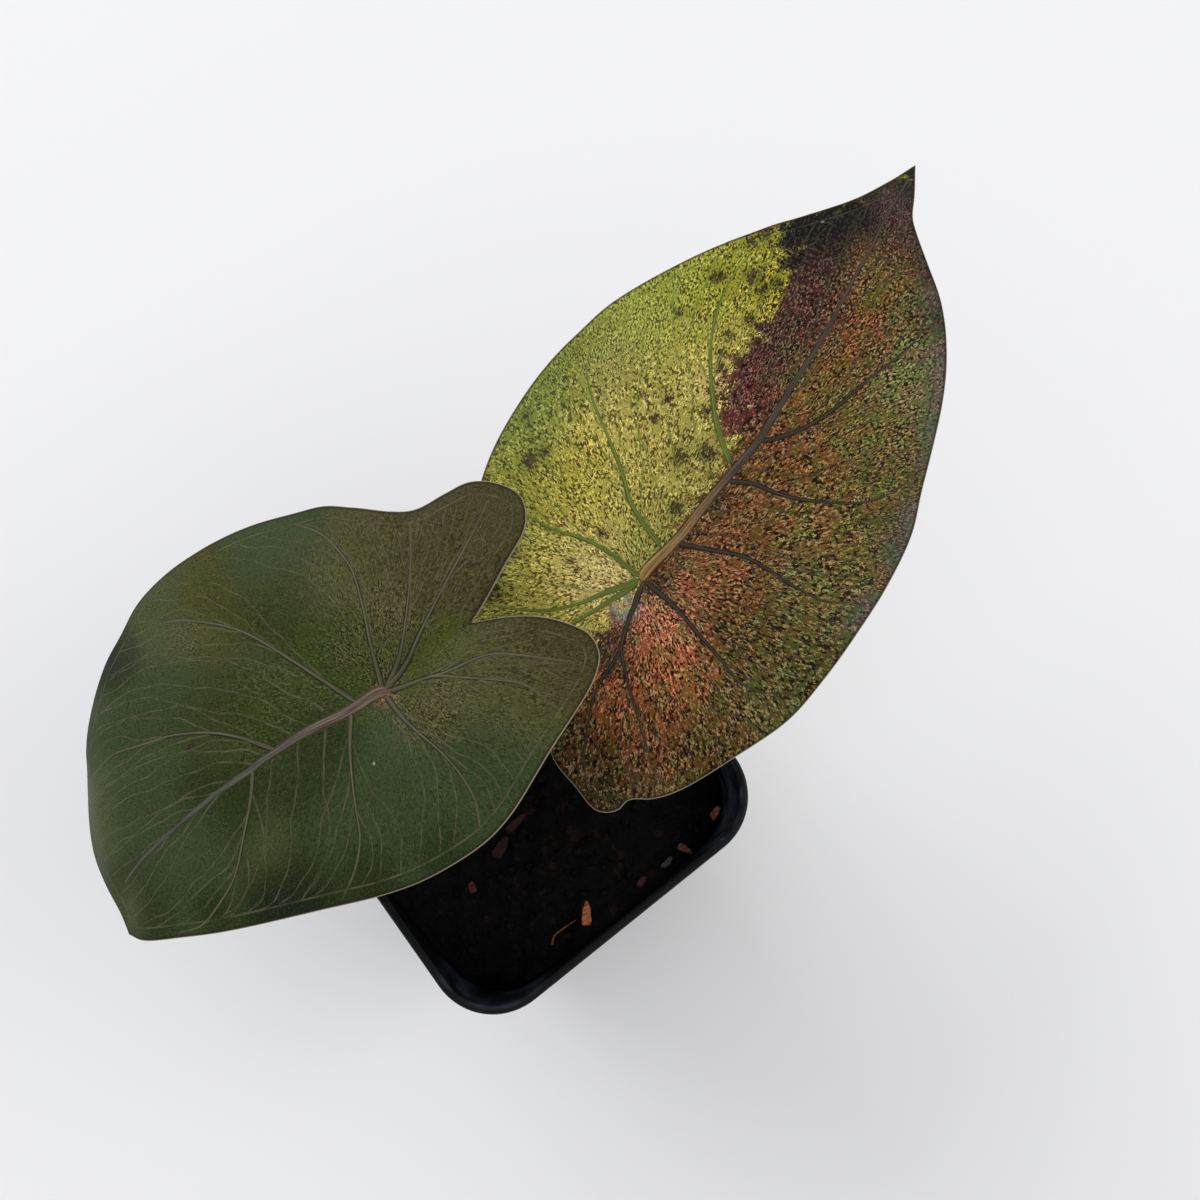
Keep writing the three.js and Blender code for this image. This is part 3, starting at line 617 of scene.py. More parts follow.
LEFT_LEAF["side_veins"] = [
    [(27.5, 0), (30.1, 4.6), (33.2, 8.7), (38.7, 14.8), (43.5, 17.3), (48.7, 18.9), (54, 17.8)],
    [(7, 0), (9.1, 4.7), (11, 9.8), (13, 15.6), (14.4, 19.6), (17.5, 23.5), (22.5, 27.2)],
    [(0.9, 0.3), (-0.2, 4.2), (-2.3, 9), (-4.3, 13.3), (-5.8, 18.7), (-5.9, 23.5), (-4.2, 28.4)],
    [(0, 0.1), (-6.9, 1.5), (-9.9, 2.8), (-14, 5.5), (-18.5, 8.4), (-21.9, 11.1), (-25.2, 17.6)],
    [(0, 0.1), (-6.9, 1.5), (-10.5, 2.6), (-17.8, 3.6), (-20.4, 4.5), (-25.2, 7.8), (-31.5, 12.4)],
    [(0.5, -0.4), (-5, -2.5), (-11, -6), (-18, -10.5), (-25, -15), (-31, -19.5)],
    [(0.5, -0.5), (-6, -5), (-11, -11), (-14.5, -17), (-17, -22.8)],
    [(1, -0.6), (-1, -6.8), (-3.1, -14), (-4, -20.9), (-2.9, -26.2), (-0.8, -30.8), (3.5, -36)],
    [(5.4, -0.5), (9.3, -7.5), (15.5, -17.5), (19.7, -23), (24.9, -27.5), (32.1, -32.3), (43, -35)],
    [(22, -0.6), (27.5, -6.1), (32.4, -9.6), (39.4, -12.8), (47.3, -14.9), (53.5, -16.4), (62, -16)],
]
SIDE_VEIN_STEPS = 64
for leaf in (RIGHT_LEAF, LEFT_LEAF):
    leaf["midrib_line"] = smooth_line(leaf["midrib"], 2 * SIDE_VEIN_STEPS)
    leaf["vein_lines"] = [smooth_line(points, SIDE_VEIN_STEPS) for points in leaf["side_veins"]]
    print(leaf["name"], "strong side veins:", len(leaf["vein_lines"]))

# %% [markdown]
# ## Fine veins between the strong ones
# Each pair of neighbouring strong veins spans a field of blade. In that field a fine vein starts
# on one of the two, follows it for a while and then crosses over towards the other, and all end on
# the vein inside the margin. Fields that start on the midrib also get fine veins straight from it.

# %% Work out the fine veins
FINE_VEIN_STEPS = 44
MARGIN_VEIN_INSET = 2.3
BRANCHES = [(0.1, 0.42), (0.28, 0.28), (0.5, 0.14)]
MIDRIB_STARTS = [0.25, 0.5, 0.75]
WIDE_FIELD = 7.0
RING_SHARE = 0.93
CROSSING_BEND = 1.7
CROSSING_LEAD = 0.98
START_SPREAD = 0.04
MIDRIB_SPREAD = 0.05
WAVER = 0.3
WAVER_PITCHES = (0.9, 1.7, 3.4)
WAVER_EASE = 4
dice = np.random.default_rng(7)


def margin_vein(leaf):
    """The vein that runs round the leaf a plain distance inside its margin."""
    outline = leaf["outline"]
    run = np.roll(outline, -1, axis=0) - np.roll(outline, 1, axis=0)
    inward = np.column_stack([run[:, 1], -run[:, 0]]) / np.hypot(*run.T)[:, None]
    inward *= np.sign(np.median((inward * -outline).sum(axis=1)))
    ring = outline + MARGIN_VEIN_INSET * inward
    away = distance_to_outline(outline, ring[:, 0], ring[:, 1])
    return ring[away > RING_SHARE * MARGIN_VEIN_INSET]


def reach_margin(leaf, line):
    """Stretches a line from its root so that its last point lies on the margin vein."""
    reach = reach_towards(leaf["margin_vein"], line[-1, 0], line[-1, 1])
    stretch = reach / np.hypot(*line[-1]) - 1
    along = np.linspace(0, 1, len(line)) ** 2
    return line * (1 + stretch * along)[:, None]


def cross_over(first, second, start, share):
    """A line that leaves the first vein at start and ends at a share of the way to the second."""
    steps = np.linspace(0, 1, len(first))
    rise = np.clip((steps - start) / (1 - start), 0, 1)
    weight = (share * (1 - (1 - rise) ** CROSSING_BEND))[:, None]
    line = first * (1 - weight) + second * weight
    return line[steps >= start * CROSSING_LEAD]


def sideways(line):
    """The unit direction across a flat line at each of its points."""
    run = np.gradient(line, axis=0)
    run /= np.hypot(*run.T)[:, None]
    return np.column_stack([-run[:, 1], run[:, 0]])


def waver(line):
    """The line with the slight unsteadiness of a grown one."""
    walked = lengths(line)
    phases = dice.uniform(0, 2 * math.pi, len(WAVER_PITCHES))
    bends = sum(np.sin(walked / pitch + phase) * pitch / 3
                for pitch, phase in zip(WAVER_PITCHES, phases))
    ease = np.minimum(1, walked / WAVER_EASE)
    return line + sideways(line) * (WAVER * ease * bends)[:, None]


def fine_veins(leaf):
    """All fine veins of a leaf, as lines in its own frame."""
    tip_vein = leaf["midrib_line"][-SIDE_VEIN_STEPS - 1:]
    ring = [*leaf["vein_lines"], tip_vein]
    lines = []
    for first, second in zip(ring, ring[1:] + ring[:1]):
        for one, other in ((first, second), (second, first)):
            for start, share in BRANCHES:
                start = start + dice.uniform(-START_SPREAD, START_SPREAD)
                share = share + dice.uniform(-START_SPREAD, START_SPREAD)
                lines.append(cross_over(one, other, start, share))
        if np.hypot(*(first[0] - second[0])) > WIDE_FIELD:
            for share in MIDRIB_STARTS:
                share = share + dice.uniform(-MIDRIB_SPREAD, MIDRIB_SPREAD)
                lines.append(first * (1 - share) + second * share)
    return [waver(reach_margin(leaf, resampled(line, FINE_VEIN_STEPS))) for line in lines]


for leaf in (RIGHT_LEAF, LEFT_LEAF):
    leaf["margin_vein"] = margin_vein(leaf)
    leaf["fine_lines"] = fine_veins(leaf)
    print(leaf["name"], "fine veins:", len(leaf["fine_lines"]))

# %% [markdown]
# ## Veins that stand up from the blade
# On the real leaf the strong veins are low ridges above and round ribs below. They could be bump
# in the material, but a ridge in the mesh keeps its edge at any distance and shows in profile.
# Each one is a grid wrapped round its line. Its upper side is a low crest, and its edges lie just
# under the blade, where its colour is the blade's own, so that no seam shows. Every point keeps
# how far across the vein it lies, how far along, and the vein's rank, for the material. The rank
# of a side vein falls towards its end, so that it fades into the fine ones.

# %% Define the vein meshes
EDGE_SINK = 0.02
ROOT_SINK = 0.25
RIB_SINK = 0.3
MIDRIB, STRONG, FINE = 1.0, 0.75, 0.25
WEAKER_FROM = 0.55
WEAKER_BY = 0.8
TAPER = 1.7
CREST_CURVE = 1.2
CREST_END_ROWS = 1.5
RIB_END_ROWS = 2
RIB_ACROSS = 0.6
RIB_STEPS = 40
MIDRIB_CREST = {"widths": (1.45, 0.35), "crests": (0.4, 0.12), "rank": MIDRIB, "sides": 16}
STRONG_CREST = {"widths": (0.8, 0.3), "crests": (0.18, 0.1), "rank": STRONG, "sides": 12}
MARGIN_CREST = {"widths": (0.22, 0.22), "crests": (0.11, 0.11), "rank": FINE, "sides": 6}
FINE_CREST = {"widths": (0.27, 0.17), "crests": (0.13, 0.1), "rank": FINE, "sides": 6}
MIDRIB_RIB = {"radii": (1.25, 0.4), "rank": MIDRIB, "sides": 14}
STRONG_RIB = {"radii": (0.7, 0.35), "rank": STRONG, "sides": 10}


def between(ends, share):
    """A value on the way from the first end to the second."""
    return ends[0] + (ends[1] - ends[0]) * share


def crest_bmesh(leaf, line, widths, crests, rank, sides):
    """A ridge on the upper face. Widths and crests go from the vein's root to its end."""
    steps = len(line) - 1
    across_line = sideways(line)
    walked = lengths(line)

    def place(u, v):
        row = np.rint(u * steps).astype(int)
        share = walked[row] / walked[-1]
        across = np.cos(2 * math.pi * v)
        up = np.sin(2 * math.pi * v)
        weaker = np.clip((share - WEAKER_FROM) / (1 - WEAKER_FROM), 0, 1)
        fade = np.clip(np.minimum(row, steps - row) / CREST_END_ROWS, 0, 1)
        slim = 1 - (1 - share) ** TAPER
        width = between(widths, slim) * fade
        crest = between(crests, slim) * fade
        x = line[row, 0] + across_line[row, 0] * across * width
        y = line[row, 1] + across_line[row, 1] * across * width
        lift = np.where(up >= 0, crest * (1 - np.abs(across)) ** CREST_CURVE, ROOT_SINK * up)
        z = blade_height(leaf, x, y, out_fraction(leaf, x, y)) + lift - EDGE_SINK
        kept = rank if rank == MIDRIB else rank + WEAKER_BY * (FINE - rank) * weaker
        return np.column_stack([x, y, z, across, walked[row], kept + 0 * x])

    return shaped_grid(steps, sides, place, notes="vein_place")


def rib_bmesh(leaf, line, radii, rank, sides):
    """A round rib under the blade, its top sunk into the lower face."""
    steps = len(line) - 1
    across_line = sideways(line)
    walked = lengths(line)

    def place(u, v):
        row = np.rint(u * steps).astype(int)
        share = walked[row] / walked[-1]
        fade = np.sqrt(np.clip(np.minimum(row, steps - row) / RIB_END_ROWS, 0, 1))
        radius = between(radii, share) * fade
        across = np.cos(2 * math.pi * v)
        x = line[row, 0] + across_line[row, 0] * across * radius
        y = line[row, 1] + across_line[row, 1] * across * radius
        under = blade_height(leaf, line[row, 0], line[row, 1],
                             out_fraction(leaf, line[row, 0], line[row, 1]))
        z = under - BLADE_THICKNESS + RIB_SINK - radius + radius * np.sin(2 * math.pi * v)
        return np.column_stack([x, y, z, RIB_ACROSS * across, walked[row], np.full_like(x, rank)])

    return shaped_grid(steps, sides, place, notes="vein_place")


def veins_bmesh(leaf):
    """All veins and ribs of a leaf in one bmesh, in the leaf's own frame."""
    bm = crest_bmesh(leaf, leaf["midrib_line"], **MIDRIB_CREST)
    for line in leaf["vein_lines"]:
        join_into(bm, crest_bmesh(leaf, line, **STRONG_CREST))
    join_into(bm, crest_bmesh(leaf, leaf["margin_vein"], **MARGIN_CREST))
    for line in leaf["fine_lines"]:
        join_into(bm, crest_bmesh(leaf, line, **FINE_CREST))
    join_into(bm, rib_bmesh(leaf, leaf["midrib_line"], **MIDRIB_RIB))
    for line in leaf["rib_lines"]:
        join_into(bm, rib_bmesh(leaf, smooth_line(line, RIB_STEPS), **STRONG_RIB))
    bmesh.ops.recalc_face_normals(bm, faces=bm.faces)
    return bm


print("the midrib stands", MIDRIB_CREST["crests"][0], "mm above the blade at the stalk")

# %% [markdown]
# ## A palette for the leaves
# The marbled leaf has no single colour: straw and lime near the midrib, teal towards the left margin,
# rust and rose on the other half, plum at the tip. A painter would lay washes of a few colours over each
# other, and that is done here. Each wash has a place on the leaf, a reach and a colour by name, and
# every point of the leaf takes the mean of the washes near it. Some washes are painted light and shade
# rather than the leaf's colour: the slate ones along the marbled leaf's right margin are a painted sheen
# of the pale sky, the mist one by its stalk is a painted glint, the bark ones beside its midrib are
# painted shade, and one pale jade wash on the green leaf's tip is a painted highlight.
# A colour also says how strongly flecks show on it. Dark colours and greens are calm, the yellows
# a little, rose and a few more are speckled, and one that isn't listed has the plain strength 1.

# %% Mix the palette
PALETTE = {
    "cream": "bfad70", "straw": "ad9f4c", "ochre": "8e8742", "lime": "878222", "olive": "88852d",
    "moss": "83892f", "teal": "6f7a2e", "sage": "8a9038", "meadow": "7c7f3a", "rust": "613f22",
    "umber": "614d24", "bronze": "585128", "moor": "5f5c37", "rose": "925c44", "tan": "744c2c",
    "clay": "80502f", "earth": "50401f", "plum": "402826", "wine": "50292c", "sheen_slate": "4e4e4a",
    "night": "18181b", "mauve": "382f31", "bark": "3c311c", "glint_mist": "76827f", "loam": "4e4824",
    "forest": "1c2610", "pine": "373e1d", "fern": "394420", "jade": "39462b", "pale_jade": "464f2f",
    "khaki": "4a4a2a", "dun": "454127", "bright": "484e24", "deep": "2a341a", "warm": "43441a",
    "ink": "2a2329", "blush": "7c5a4a", "speckled": "4e4a2e",
}
RIGHT_LEAF["green_washes"] = [
    (-4, 8, 6, "cream"), (-10, 14, 7, "straw"), (4, 14, 8, "straw"), (12, 10, 6, "ochre"),
    (20, 18, 9, "straw"), (30, 22, 9, "ochre"), (26, 10, 7, "ochre"), (40, 14, 8, "straw"),
    (55, 20, 9, "lime"), (46, 28, 9, "sage"), (40, 32, 8, "sage"), (66, 21, 7, "lime"),
    (20, 36, 6, "teal"), (32, 38, 6, "teal"), (50, 32, 6, "moss"), (64, 25, 5, "sage"),
    (8, 36, 7, "teal"), (0, 28, 8, "olive"), (-8, 30, 6, "meadow"), (-14, 22, 7, "meadow"),
    (-25, 14, 8, "ochre"), (-14, 4, 5, "straw"), (-30, 12, 7, "olive"), (80, 16, 6, "moss"),
    (95, 12, 6, "lime"), (30, 30, 6, "ochre"), (5, 4, 4, "meadow"), (8, 20, 5, "lime"),
    (38, 12, 3.5, "cream"), (50, 13, 4, "straw"),
]
RIGHT_LEAF["dark_washes"] = [
    (-3, -10, 6, "rose"), (2, -18, 6, "earth"), (-12, -12, 7, "clay"), (-22, -16, 7, "rust"),
    (10, -8, 6, "tan"), (18, -12, 7, "rust"), (28, -24, 7, "umber"), (32, -15, 7, "umber"),
    (10, -31, 6, "loam"), (20, -36, 3.5, "sheen_slate"), (-33, -18, 6, "bark"), (-14, -4, 4, "plum"),
    (-28, -5, 4, "bark"), (-21, -9, 4, "clay"), (35, -8, 7, "rust"), (50, -5, 7, "umber"),
    (45, -20, 7, "bronze"), (60, -3, 6, "rust"), (60, -16, 6, "moor"), (75, 0, 6, "umber"),
    (67, -21, 3.5, "sheen_slate"), (45, -29, 4, "loam"), (79, -12, 4, "sheen_slate"), (40, 6, 5, "wine"),
    (50, 6, 5, "plum"), (60, 9, 6, "plum"), (70, 8, 5, "plum"), (75, 15, 5, "night"),
    (85, 12, 5, "night"), (68, 15, 3.5, "night"), (92, 9, 4, "mauve"), (90, 3, 5, "plum"),
    (101, 9, 4, "night"), (-3, -33, 5, "loam"), (33, -34, 3, "sheen_slate"), (56, -27, 3, "sheen_slate"),
    (95, 4, 3, "ink"), (89, -1.5, 3, "ink"), (83.5, -7, 3, "ink"), (77, -13.5, 2.6, "ink"),
    # These bark washes along the midrib's dark side are painted shade.
    (2, -2, 2.6, "bark"), (8, -2.2, 2.6, "bark"), (14, -2.4, 2.4, "bark"), (20, -2.6, 2.4, "bark"),
    (80, 1, 4, "plum"), (74, 10, 3.5, "night"), (59, 4, 4, "plum"), (33, -27, 4, "loam"),
    # The mist wash by the stalk at the end of this line is a painted glint of the sky, not a colour of
    # the blade.
    (74, -8, 4, "loam"), (-15, -28, 6, "earth"), (20, -28, 6, "bronze"), (-5.5, -1.2, 1.8, "glint_mist"),
    # The slate washes here and above, along the right margin, are a painted sheen of the pale sky in the
    # curling waxy margin.
    (20, -20, 4, "moor"), (40, -32.5, 2.5, "sheen_slate"), (49, -29.5, 2.5, "sheen_slate"),
    (62, -24, 2.5, "sheen_slate"),
]
LEFT_LEAF["green_washes"] = [
    (4, -8, 6, "fern"), (-3.5, -20, 6, "khaki"), (-20, -14, 7, "dun"), (12, -22, 7, "pine"),
    (25, -30, 7, "warm"), (35, -33, 6, "pale_jade"), (40, -20, 8, "jade"), (50, -5, 8, "jade"),
    (62, -8, 5, "pale_jade"), (45, 10, 8, "jade"), (30, 22, 7, "forest"), (15, 18, 8, "jade"),
    (-12, 8, 5, "khaki"), (-20, 12, 6, "khaki"), (-30, 10, 6, "dun"), (-10, 20, 7, "jade"),
    (0, 24, 7, "jade"), (-6, -1.5, 3, "bright"), (-13, -2.5, 3, "bright"), (20, 6, 6, "deep"),
    (20, -8, 6, "fern"), (58, 10, 6, "deep"), (30, -10, 6, "pine"), (-28, -16, 6, "dun"),
    (44, -31, 4, "forest"), (10, -34, 6, "jade"), (32, 6, 5, "deep"), (0.6, -0.4, 1.5, "blush"),
    (-2.5, -3.5, 2.5, "speckled"), (-6, -12, 4, "speckled"), (-8, 8, 4, "speckled"),
    (30, -28, 3, "speckled"), (2, 28, 4, "forest"), (16, 25, 4, "forest"), (45, 17, 3, "forest"),
    (38, -1, 4, "deep"), (14, 2, 4, "deep"), (2, -8, 3, "speckled"), (30, 13, 4.5, "pale_jade"),
    # This pale jade wash on the bend of the tip is a painted highlight.
    (62, 9, 3.5, "pale_jade"),
]
LEFT_LEAF["dark_washes"] = []
FLECK_STRENGTH = {
    "night": 0.25, "mauve": 0.4, "sheen_slate": 0.45, "glint_mist": 0.3, "jade": 0.3, "pine": 0.4, "deep": 0.4,
    "forest": 0.4, "pale_jade": 0.3, "bright": 0.5, "ink": 0.3, "speckled": 1.5, "khaki": 0.6,
    "dun": 0.65, "fern": 0.75, "warm": 0.5, "blush": 1.4, "wine": 1.2, "rose": 1.3, "cream": 0.7,
    "straw": 0.75, "ochre": 0.8, "sage": 0.7, "teal": 0.7, "olive": 0.8, "meadow": 0.8, "moss": 0.8,
}
SHEEN = 0.008
SHEEN_LIMIT = 0.3
FAR_WEIGHT = 1e-7


def wash(washes, x, y):
    """The mean colour of the washes near each point, in linear light, less the leaf's sheen.

    The palette is what the eye sees, and a part of that is the pale sky in the waxy surface.
    The fourth number is how strongly the flecks show there."""
    total = np.zeros(np.shape(x))
    mixed = np.zeros((len(x), 3))
    flecked = np.zeros(np.shape(x))
    for centre_x, centre_y, reach, name in washes:
        away = (x - centre_x) ** 2 + (y - centre_y) ** 2
        weight = np.exp(-away / reach**2) + FAR_WEIGHT / (1 + away)
        total += weight
        flecked += weight * FLECK_STRENGTH.get(name, 1.0)
        mixed += weight[:, None] * np.array(colour(PALETTE[name], alpha=False))
    mixed /= total[:, None]
    return np.column_stack([np.maximum(mixed - SHEEN, SHEEN_LIMIT * mixed), flecked / total])


print("colours in the palette:", len(PALETTE))

# %% [markdown]
# ## Where each colour lies
# On the marbled leaf the change from green to brown follows the midrib, then swings off to the
# left margin near the tip. It is kept as a distance in millimetres from that border, which the
# material then breaks up into flecks. A few green islands lie inside it. Small dark blotches and
# pale spots are soft bells. All of it goes to the mesh as attributes, which stay with the surface
# when the plant is turned or exported.

# %% Draw the borders and blotches
RIGHT_LEAF["dark_zone"] = [
    (-20, 0.2), (0, 0), (28.2, 0.3), (31.2, 1.7), (33.9, 7.9), (37.4, 10.2), (40.7, 10.4),
    (44.8, 11.8), (48.9, 10.8), (54.7, 11.8), (59.2, 11.4), (64.4, 12.6), (66.6, 14.2),
    (65.4, 16.4), (68.8, 17.4), (68.1, 19.6), (71.8, 19.7), (72, 21.8), (74.8, 20.9), (76.4, 21.3),
    (79, 19.2), (84, 16.4), (88, 13.7), (91.5, 12.6), (96, 12.4), (99, 10.9), (101.5, 10.5),
    (106, 10.6), (115, 10), (115, -60), (-60, -60), (-60, 0.2),
]
RIGHT_LEAF["blotches"] = [
    (56.6, 24.7, 1.6), (60.3, 19.1, 1.8), (58.8, 15.8, 1.3), (46, 26, 1.0), (43.8, 14.3, 1.2),
    (25.7, 16.1, 1.1), (5.6, 30.5, 1.9), (22.5, 8, 2.0), (26.5, 4.5, 1.9), (2.7, 11, 0.8),
    (-4.8, 12.2, 0.8), (-5.5, 10.1, 0.6), (12.8, 37.6, 1.1), (14.6, 2.7, 1.5), (30.1, 16.8, 0.9),
    (9, 29, 1.2), (-18, 20, 2.2), (-24, 10, 1.6), (41.5, 12.6, 1.2), (36.5, 11.4, 1.0),
    (47.5, 15.5, 1.3), (33.2, 9.6, 1.1), (52.5, 14.2, 1.2), (61.5, 14.5, 1.3),
    (69, 22.6, 1.6), (66.3, 24.2, 1.2), (-4, 28, 2.5), (-10, 22, 1.3),
]
RIGHT_LEAF["islands"] = [(38, 3.5, 2.2), (46, 7.5, 1.6), (-10, 1, 1.5)]
LEFT_LEAF["dark_zone"] = []
LEFT_LEAF["blotches"] = [
    (36.6, -8.9, 0.8), (-0.6, -1.8, 0.4), (-0.1, -0.9, 0.4), (-0.5, 0.5, 0.4), (-1.1, 0.8, 0.35),
    (9, 9.2, 0.45),
]
LEFT_LEAF["islands"] = []
RIGHT_LEAF["pale_spots"] = [(78, 15.4, 0.35)]
LEFT_LEAF["pale_spots"] = [(6.5, 10.2, 0.3)]
ZONE_REACH = 8.0
BORDER_WIDTH = 2.0


def inside(outline, x, y):
    """True where a point lies inside a closed outline, by counting the sides it looks across."""
    found = np.zeros(np.shape(x), bool)
    for start, stop in zip(outline, np.roll(outline, -1, axis=0)):
        crosses = (start[1] > y) != (stop[1] > y)
        height = (stop[1] - start[1]) or 1e-9
        at = start[0] + (stop[0] - start[0]) * (y - start[1]) / height
        found ^= crosses & (x < at)
    return found


def dark_distance(leaf, x, y):
    """Millimetres inside the dark zone, or below zero outside it."""
    if not leaf["dark_zone"]:
        return np.full(np.shape(x), -ZONE_REACH)
    outline = np.array(leaf["dark_zone"], float)
    away = distance_to_outline(outline, x, y)
    away = np.where(inside(outline, x, y), away, -away)
    for centre_x, centre_y, reach in leaf["islands"]:
        away = away - 2 * reach * bell(np.hypot(x - centre_x, y - centre_y), reach)
    return np.clip(away, -ZONE_REACH, ZONE_REACH)


def dark_share(dark):
    """0 on the green side and 1 on the dark side, with a soft change across the border."""
    return np.clip(0.5 + dark / BORDER_WIDTH, 0, 1)


def blotch_strength(leaf, x, y):
    """Up to 1 in a dark blotch, 0 on the plain blade, and down to -2 in a pale spot."""
    dark, pale = ([bell(np.hypot(x - a, y - b), reach) for a, b, reach in leaf[kind]]
                  for kind in ("blotches", "pale_spots"))
    return np.max(dark, axis=0) - 2 * np.max(pale, axis=0)


print("dark blotches:", len(RIGHT_LEAF["blotches"]) + len(LEFT_LEAF["blotches"]))

# %% Put colours and marks on a leaf
# Each tint is a flank and a core colour. The dark flank is the vein's own darker tint and partly painted
# shade along its sides, and the pale core partly a painted highlight on its crest.
VEIN_TINTS = {
    "leaf_right": {"green": ("525d27", "64742e"), "dark": ("1c1512", "3c382c"),
                   "root": ("4a321a", "a0804c"), "end": ("211b18", "4a4038")},
    "leaf_left": {"green": ("292d19", "5e5a45"), "dark": ("292d19", "5e5a45"),
                  "root": ("463a32", "6a5648"), "end": ("333426", "53534a")},
}
MIDRIB_FADE = 28.0
MIDRIB_RANK = 0.9


def vein_tints(leaf, dark, vein):
    """Flank and core colours of the veins: by side, and along the midrib by distance. The dark flank is
    partly painted shade, the pale core partly a painted highlight.
    """
    share = dark_share(dark)[:, None]
    is_midrib = (vein[:, 2] > MIDRIB_RANK)[:, None]
    far = np.clip(vein[:, 1] / MIDRIB_FADE, 0, 1)[:, None]
    made = []
    for k in (0, 1):
        tint = {side: np.array(colour(codes[k], alpha=False))
                for side, codes in VEIN_TINTS[leaf["name"]].items()}
        sides = tint["green"] + (tint["dark"] - tint["green"]) * share
        along = tint["root"] + (tint["end"] - tint["root"]) * far
        made.append(np.where(is_midrib, along, sides))
    return made


def dress_leaf(leaf, bm, name, material):
    """Makes a leaf's blade or veins a piece: colours as attributes, then its place in the plant."""
    mesh = mesh_from(name, bm)
    points = np.empty(len(mesh.vertices) * 3, dtype=np.float32)
    mesh.vertices.foreach_get("co", points)
    x, y, z = points.reshape(-1, 3).T.astype(float)
    veins = np.empty_like(points)
    mesh.attributes["vein_place"].data.foreach_get("vector", veins)
    edge = distance_to_outline(leaf["outline"], x, y)
    dark = dark_distance(leaf, x, y)
    blotches = blotch_strength(leaf, x, y)
    over = z - blade_height(leaf, x, y, out_fraction(leaf, x, y))
    is_upper = over > -BLADE_THICKNESS / 2
    set_attribute(mesh, "leaf_place", "FLOAT_VECTOR", np.column_stack([x, y, edge]))
    set_attribute(mesh, "marks", "FLOAT_VECTOR", np.column_stack([dark, blotches, is_upper]))
    tints = vein_tints(leaf, dark, veins.reshape(-1, 3))
    for layer, tint in zip(("vein_flank_and_shade", "vein_core_and_highlight"), tints):
        set_attribute(mesh, layer, "FLOAT_COLOR", np.column_stack([tint, np.ones_like(x)]))
    green_ground = wash(leaf["green_washes"], x, y)
    dark_ground = wash(leaf["dark_washes"], x, y) if leaf["dark_washes"] else green_ground
    share = dark_share(dark)
    speckle = (1 - share) * green_ground[:, 3] + share * dark_ground[:, 3]
    for ground, layer in ((green_ground, "ground_green"), (dark_ground, "ground_dark")):
        set_attribute(mesh, layer, "FLOAT_COLOR", np.column_stack([ground[:, :3], speckle]))
    mesh.transform(Matrix.Scale(MM, 4) @ leaf_placement(leaf))
    return place_piece(name, mesh, material, [leaf["name"]])

# %% [markdown]
# ## Flecks, as a group
# From near by the blade is a mosaic of dark, middle and light flecks, each a patch of cells about
# a third of a millimetre wide and drawn out along the veins. Noise on plain coordinates would
# point all flecks one way. Here the flecks follow the rays from the stalk: the noise is read on
# the distance from the stalk and the angle round it. The angle alone would widen the flecks
# outwards, so it is multiplied by a radius that doubles from ring to ring, with ragged joins.

# %% Build the fleck group
def new_group(name, inputs, outputs):
    """An empty shader node group with the named sockets."""
    group = bpy.data.node_groups.new(name, "ShaderNodeTree")
    for socket, kind, value in inputs:
        made = group.interface.new_socket(socket, in_out="INPUT", socket_type="NodeSocket" + kind)
        if value is not None:
            made.default_value = value
    for socket, kind in outputs:
        group.interface.new_socket(socket, in_out="OUTPUT", socket_type="NodeSocket" + kind)
    entry = group.nodes.new("NodeGroupInput")
    leave = group.nodes.new("NodeGroupOutput")
    return group, entry.outputs, leave.inputs


def place_group(tree, group, inputs):
    """Puts a node group into a tree and hands back its outputs."""
    made = tree.nodes.new("ShaderNodeGroup")
    made.node_tree = group
    fill_sockets(tree, made.inputs, inputs)
    return made.outputs


FLECK_LENGTH = 0.74
FLECK_WIDTH = 0.34
RADIUS_SHARE = 0.8
JOIN_SCALE = 1.1
JOIN_RAGGED = 1.2
RING_SHIFT = 7.3
LIGHT_SHIFT = (31.7, 12.9, 5.1)
FLECK_NOISE = {"scale": 1.0, "detail": 1.5, "rough": 0.6}
CLOUD_NOISE = {"scale": 0.3, "detail": 3.0, "rough": 0.65}

fleck_group, given, result = new_group(
    "leaf_flecks", [("Place", "Vector", None), ("Seed", "Float", 0.0)],
    [("Dark", "Float"), ("Light", "Float"), ("Cloud", "Float")])
tree = fleck_group
split = parts_of(tree, given["Place"])
flat_place = combine(tree, split["X"], split["Y"], 0.0)
reach = add_node(tree, "VectorMath", {"operation": "LENGTH"}, {0: flat_place}).outputs["Value"]
turn = maths(tree, "ARCTAN2", split["Y"], split["X"])
join = times(tree, noise_at(tree, flat_place, JOIN_SCALE, 1.0), JOIN_RAGGED)
octave = maths(tree, "LOGARITHM", maths(tree, "MAXIMUM", reach, 1.0), 2.0)
octave = maths(tree, "FLOOR", plus(tree, octave, join))
radius = maths(tree, "POWER", 2.0, octave)
round_way = times(tree, times(tree, turn, radius), RADIUS_SHARE / FLECK_WIDTH)
out_way = maths(tree, "DIVIDE", reach, FLECK_LENGTH)
layer = plus(tree, times(tree, octave, RING_SHIFT), given["Seed"])
fleck_place = combine(tree, out_way, round_way, layer)
moved = add_node(tree, "VectorMath", {"operation": "ADD"}, {0: fleck_place, 1: LIGHT_SHIFT})
tree.links.new(noise_at(tree, fleck_place, **FLECK_NOISE), result["Dark"])
tree.links.new(noise_at(tree, moved.outputs[0], **FLECK_NOISE), result["Light"])
tree.links.new(noise_at(tree, flat_place, **CLOUD_NOISE), result["Cloud"])
print("fleck group nodes:", len(fleck_group.nodes))

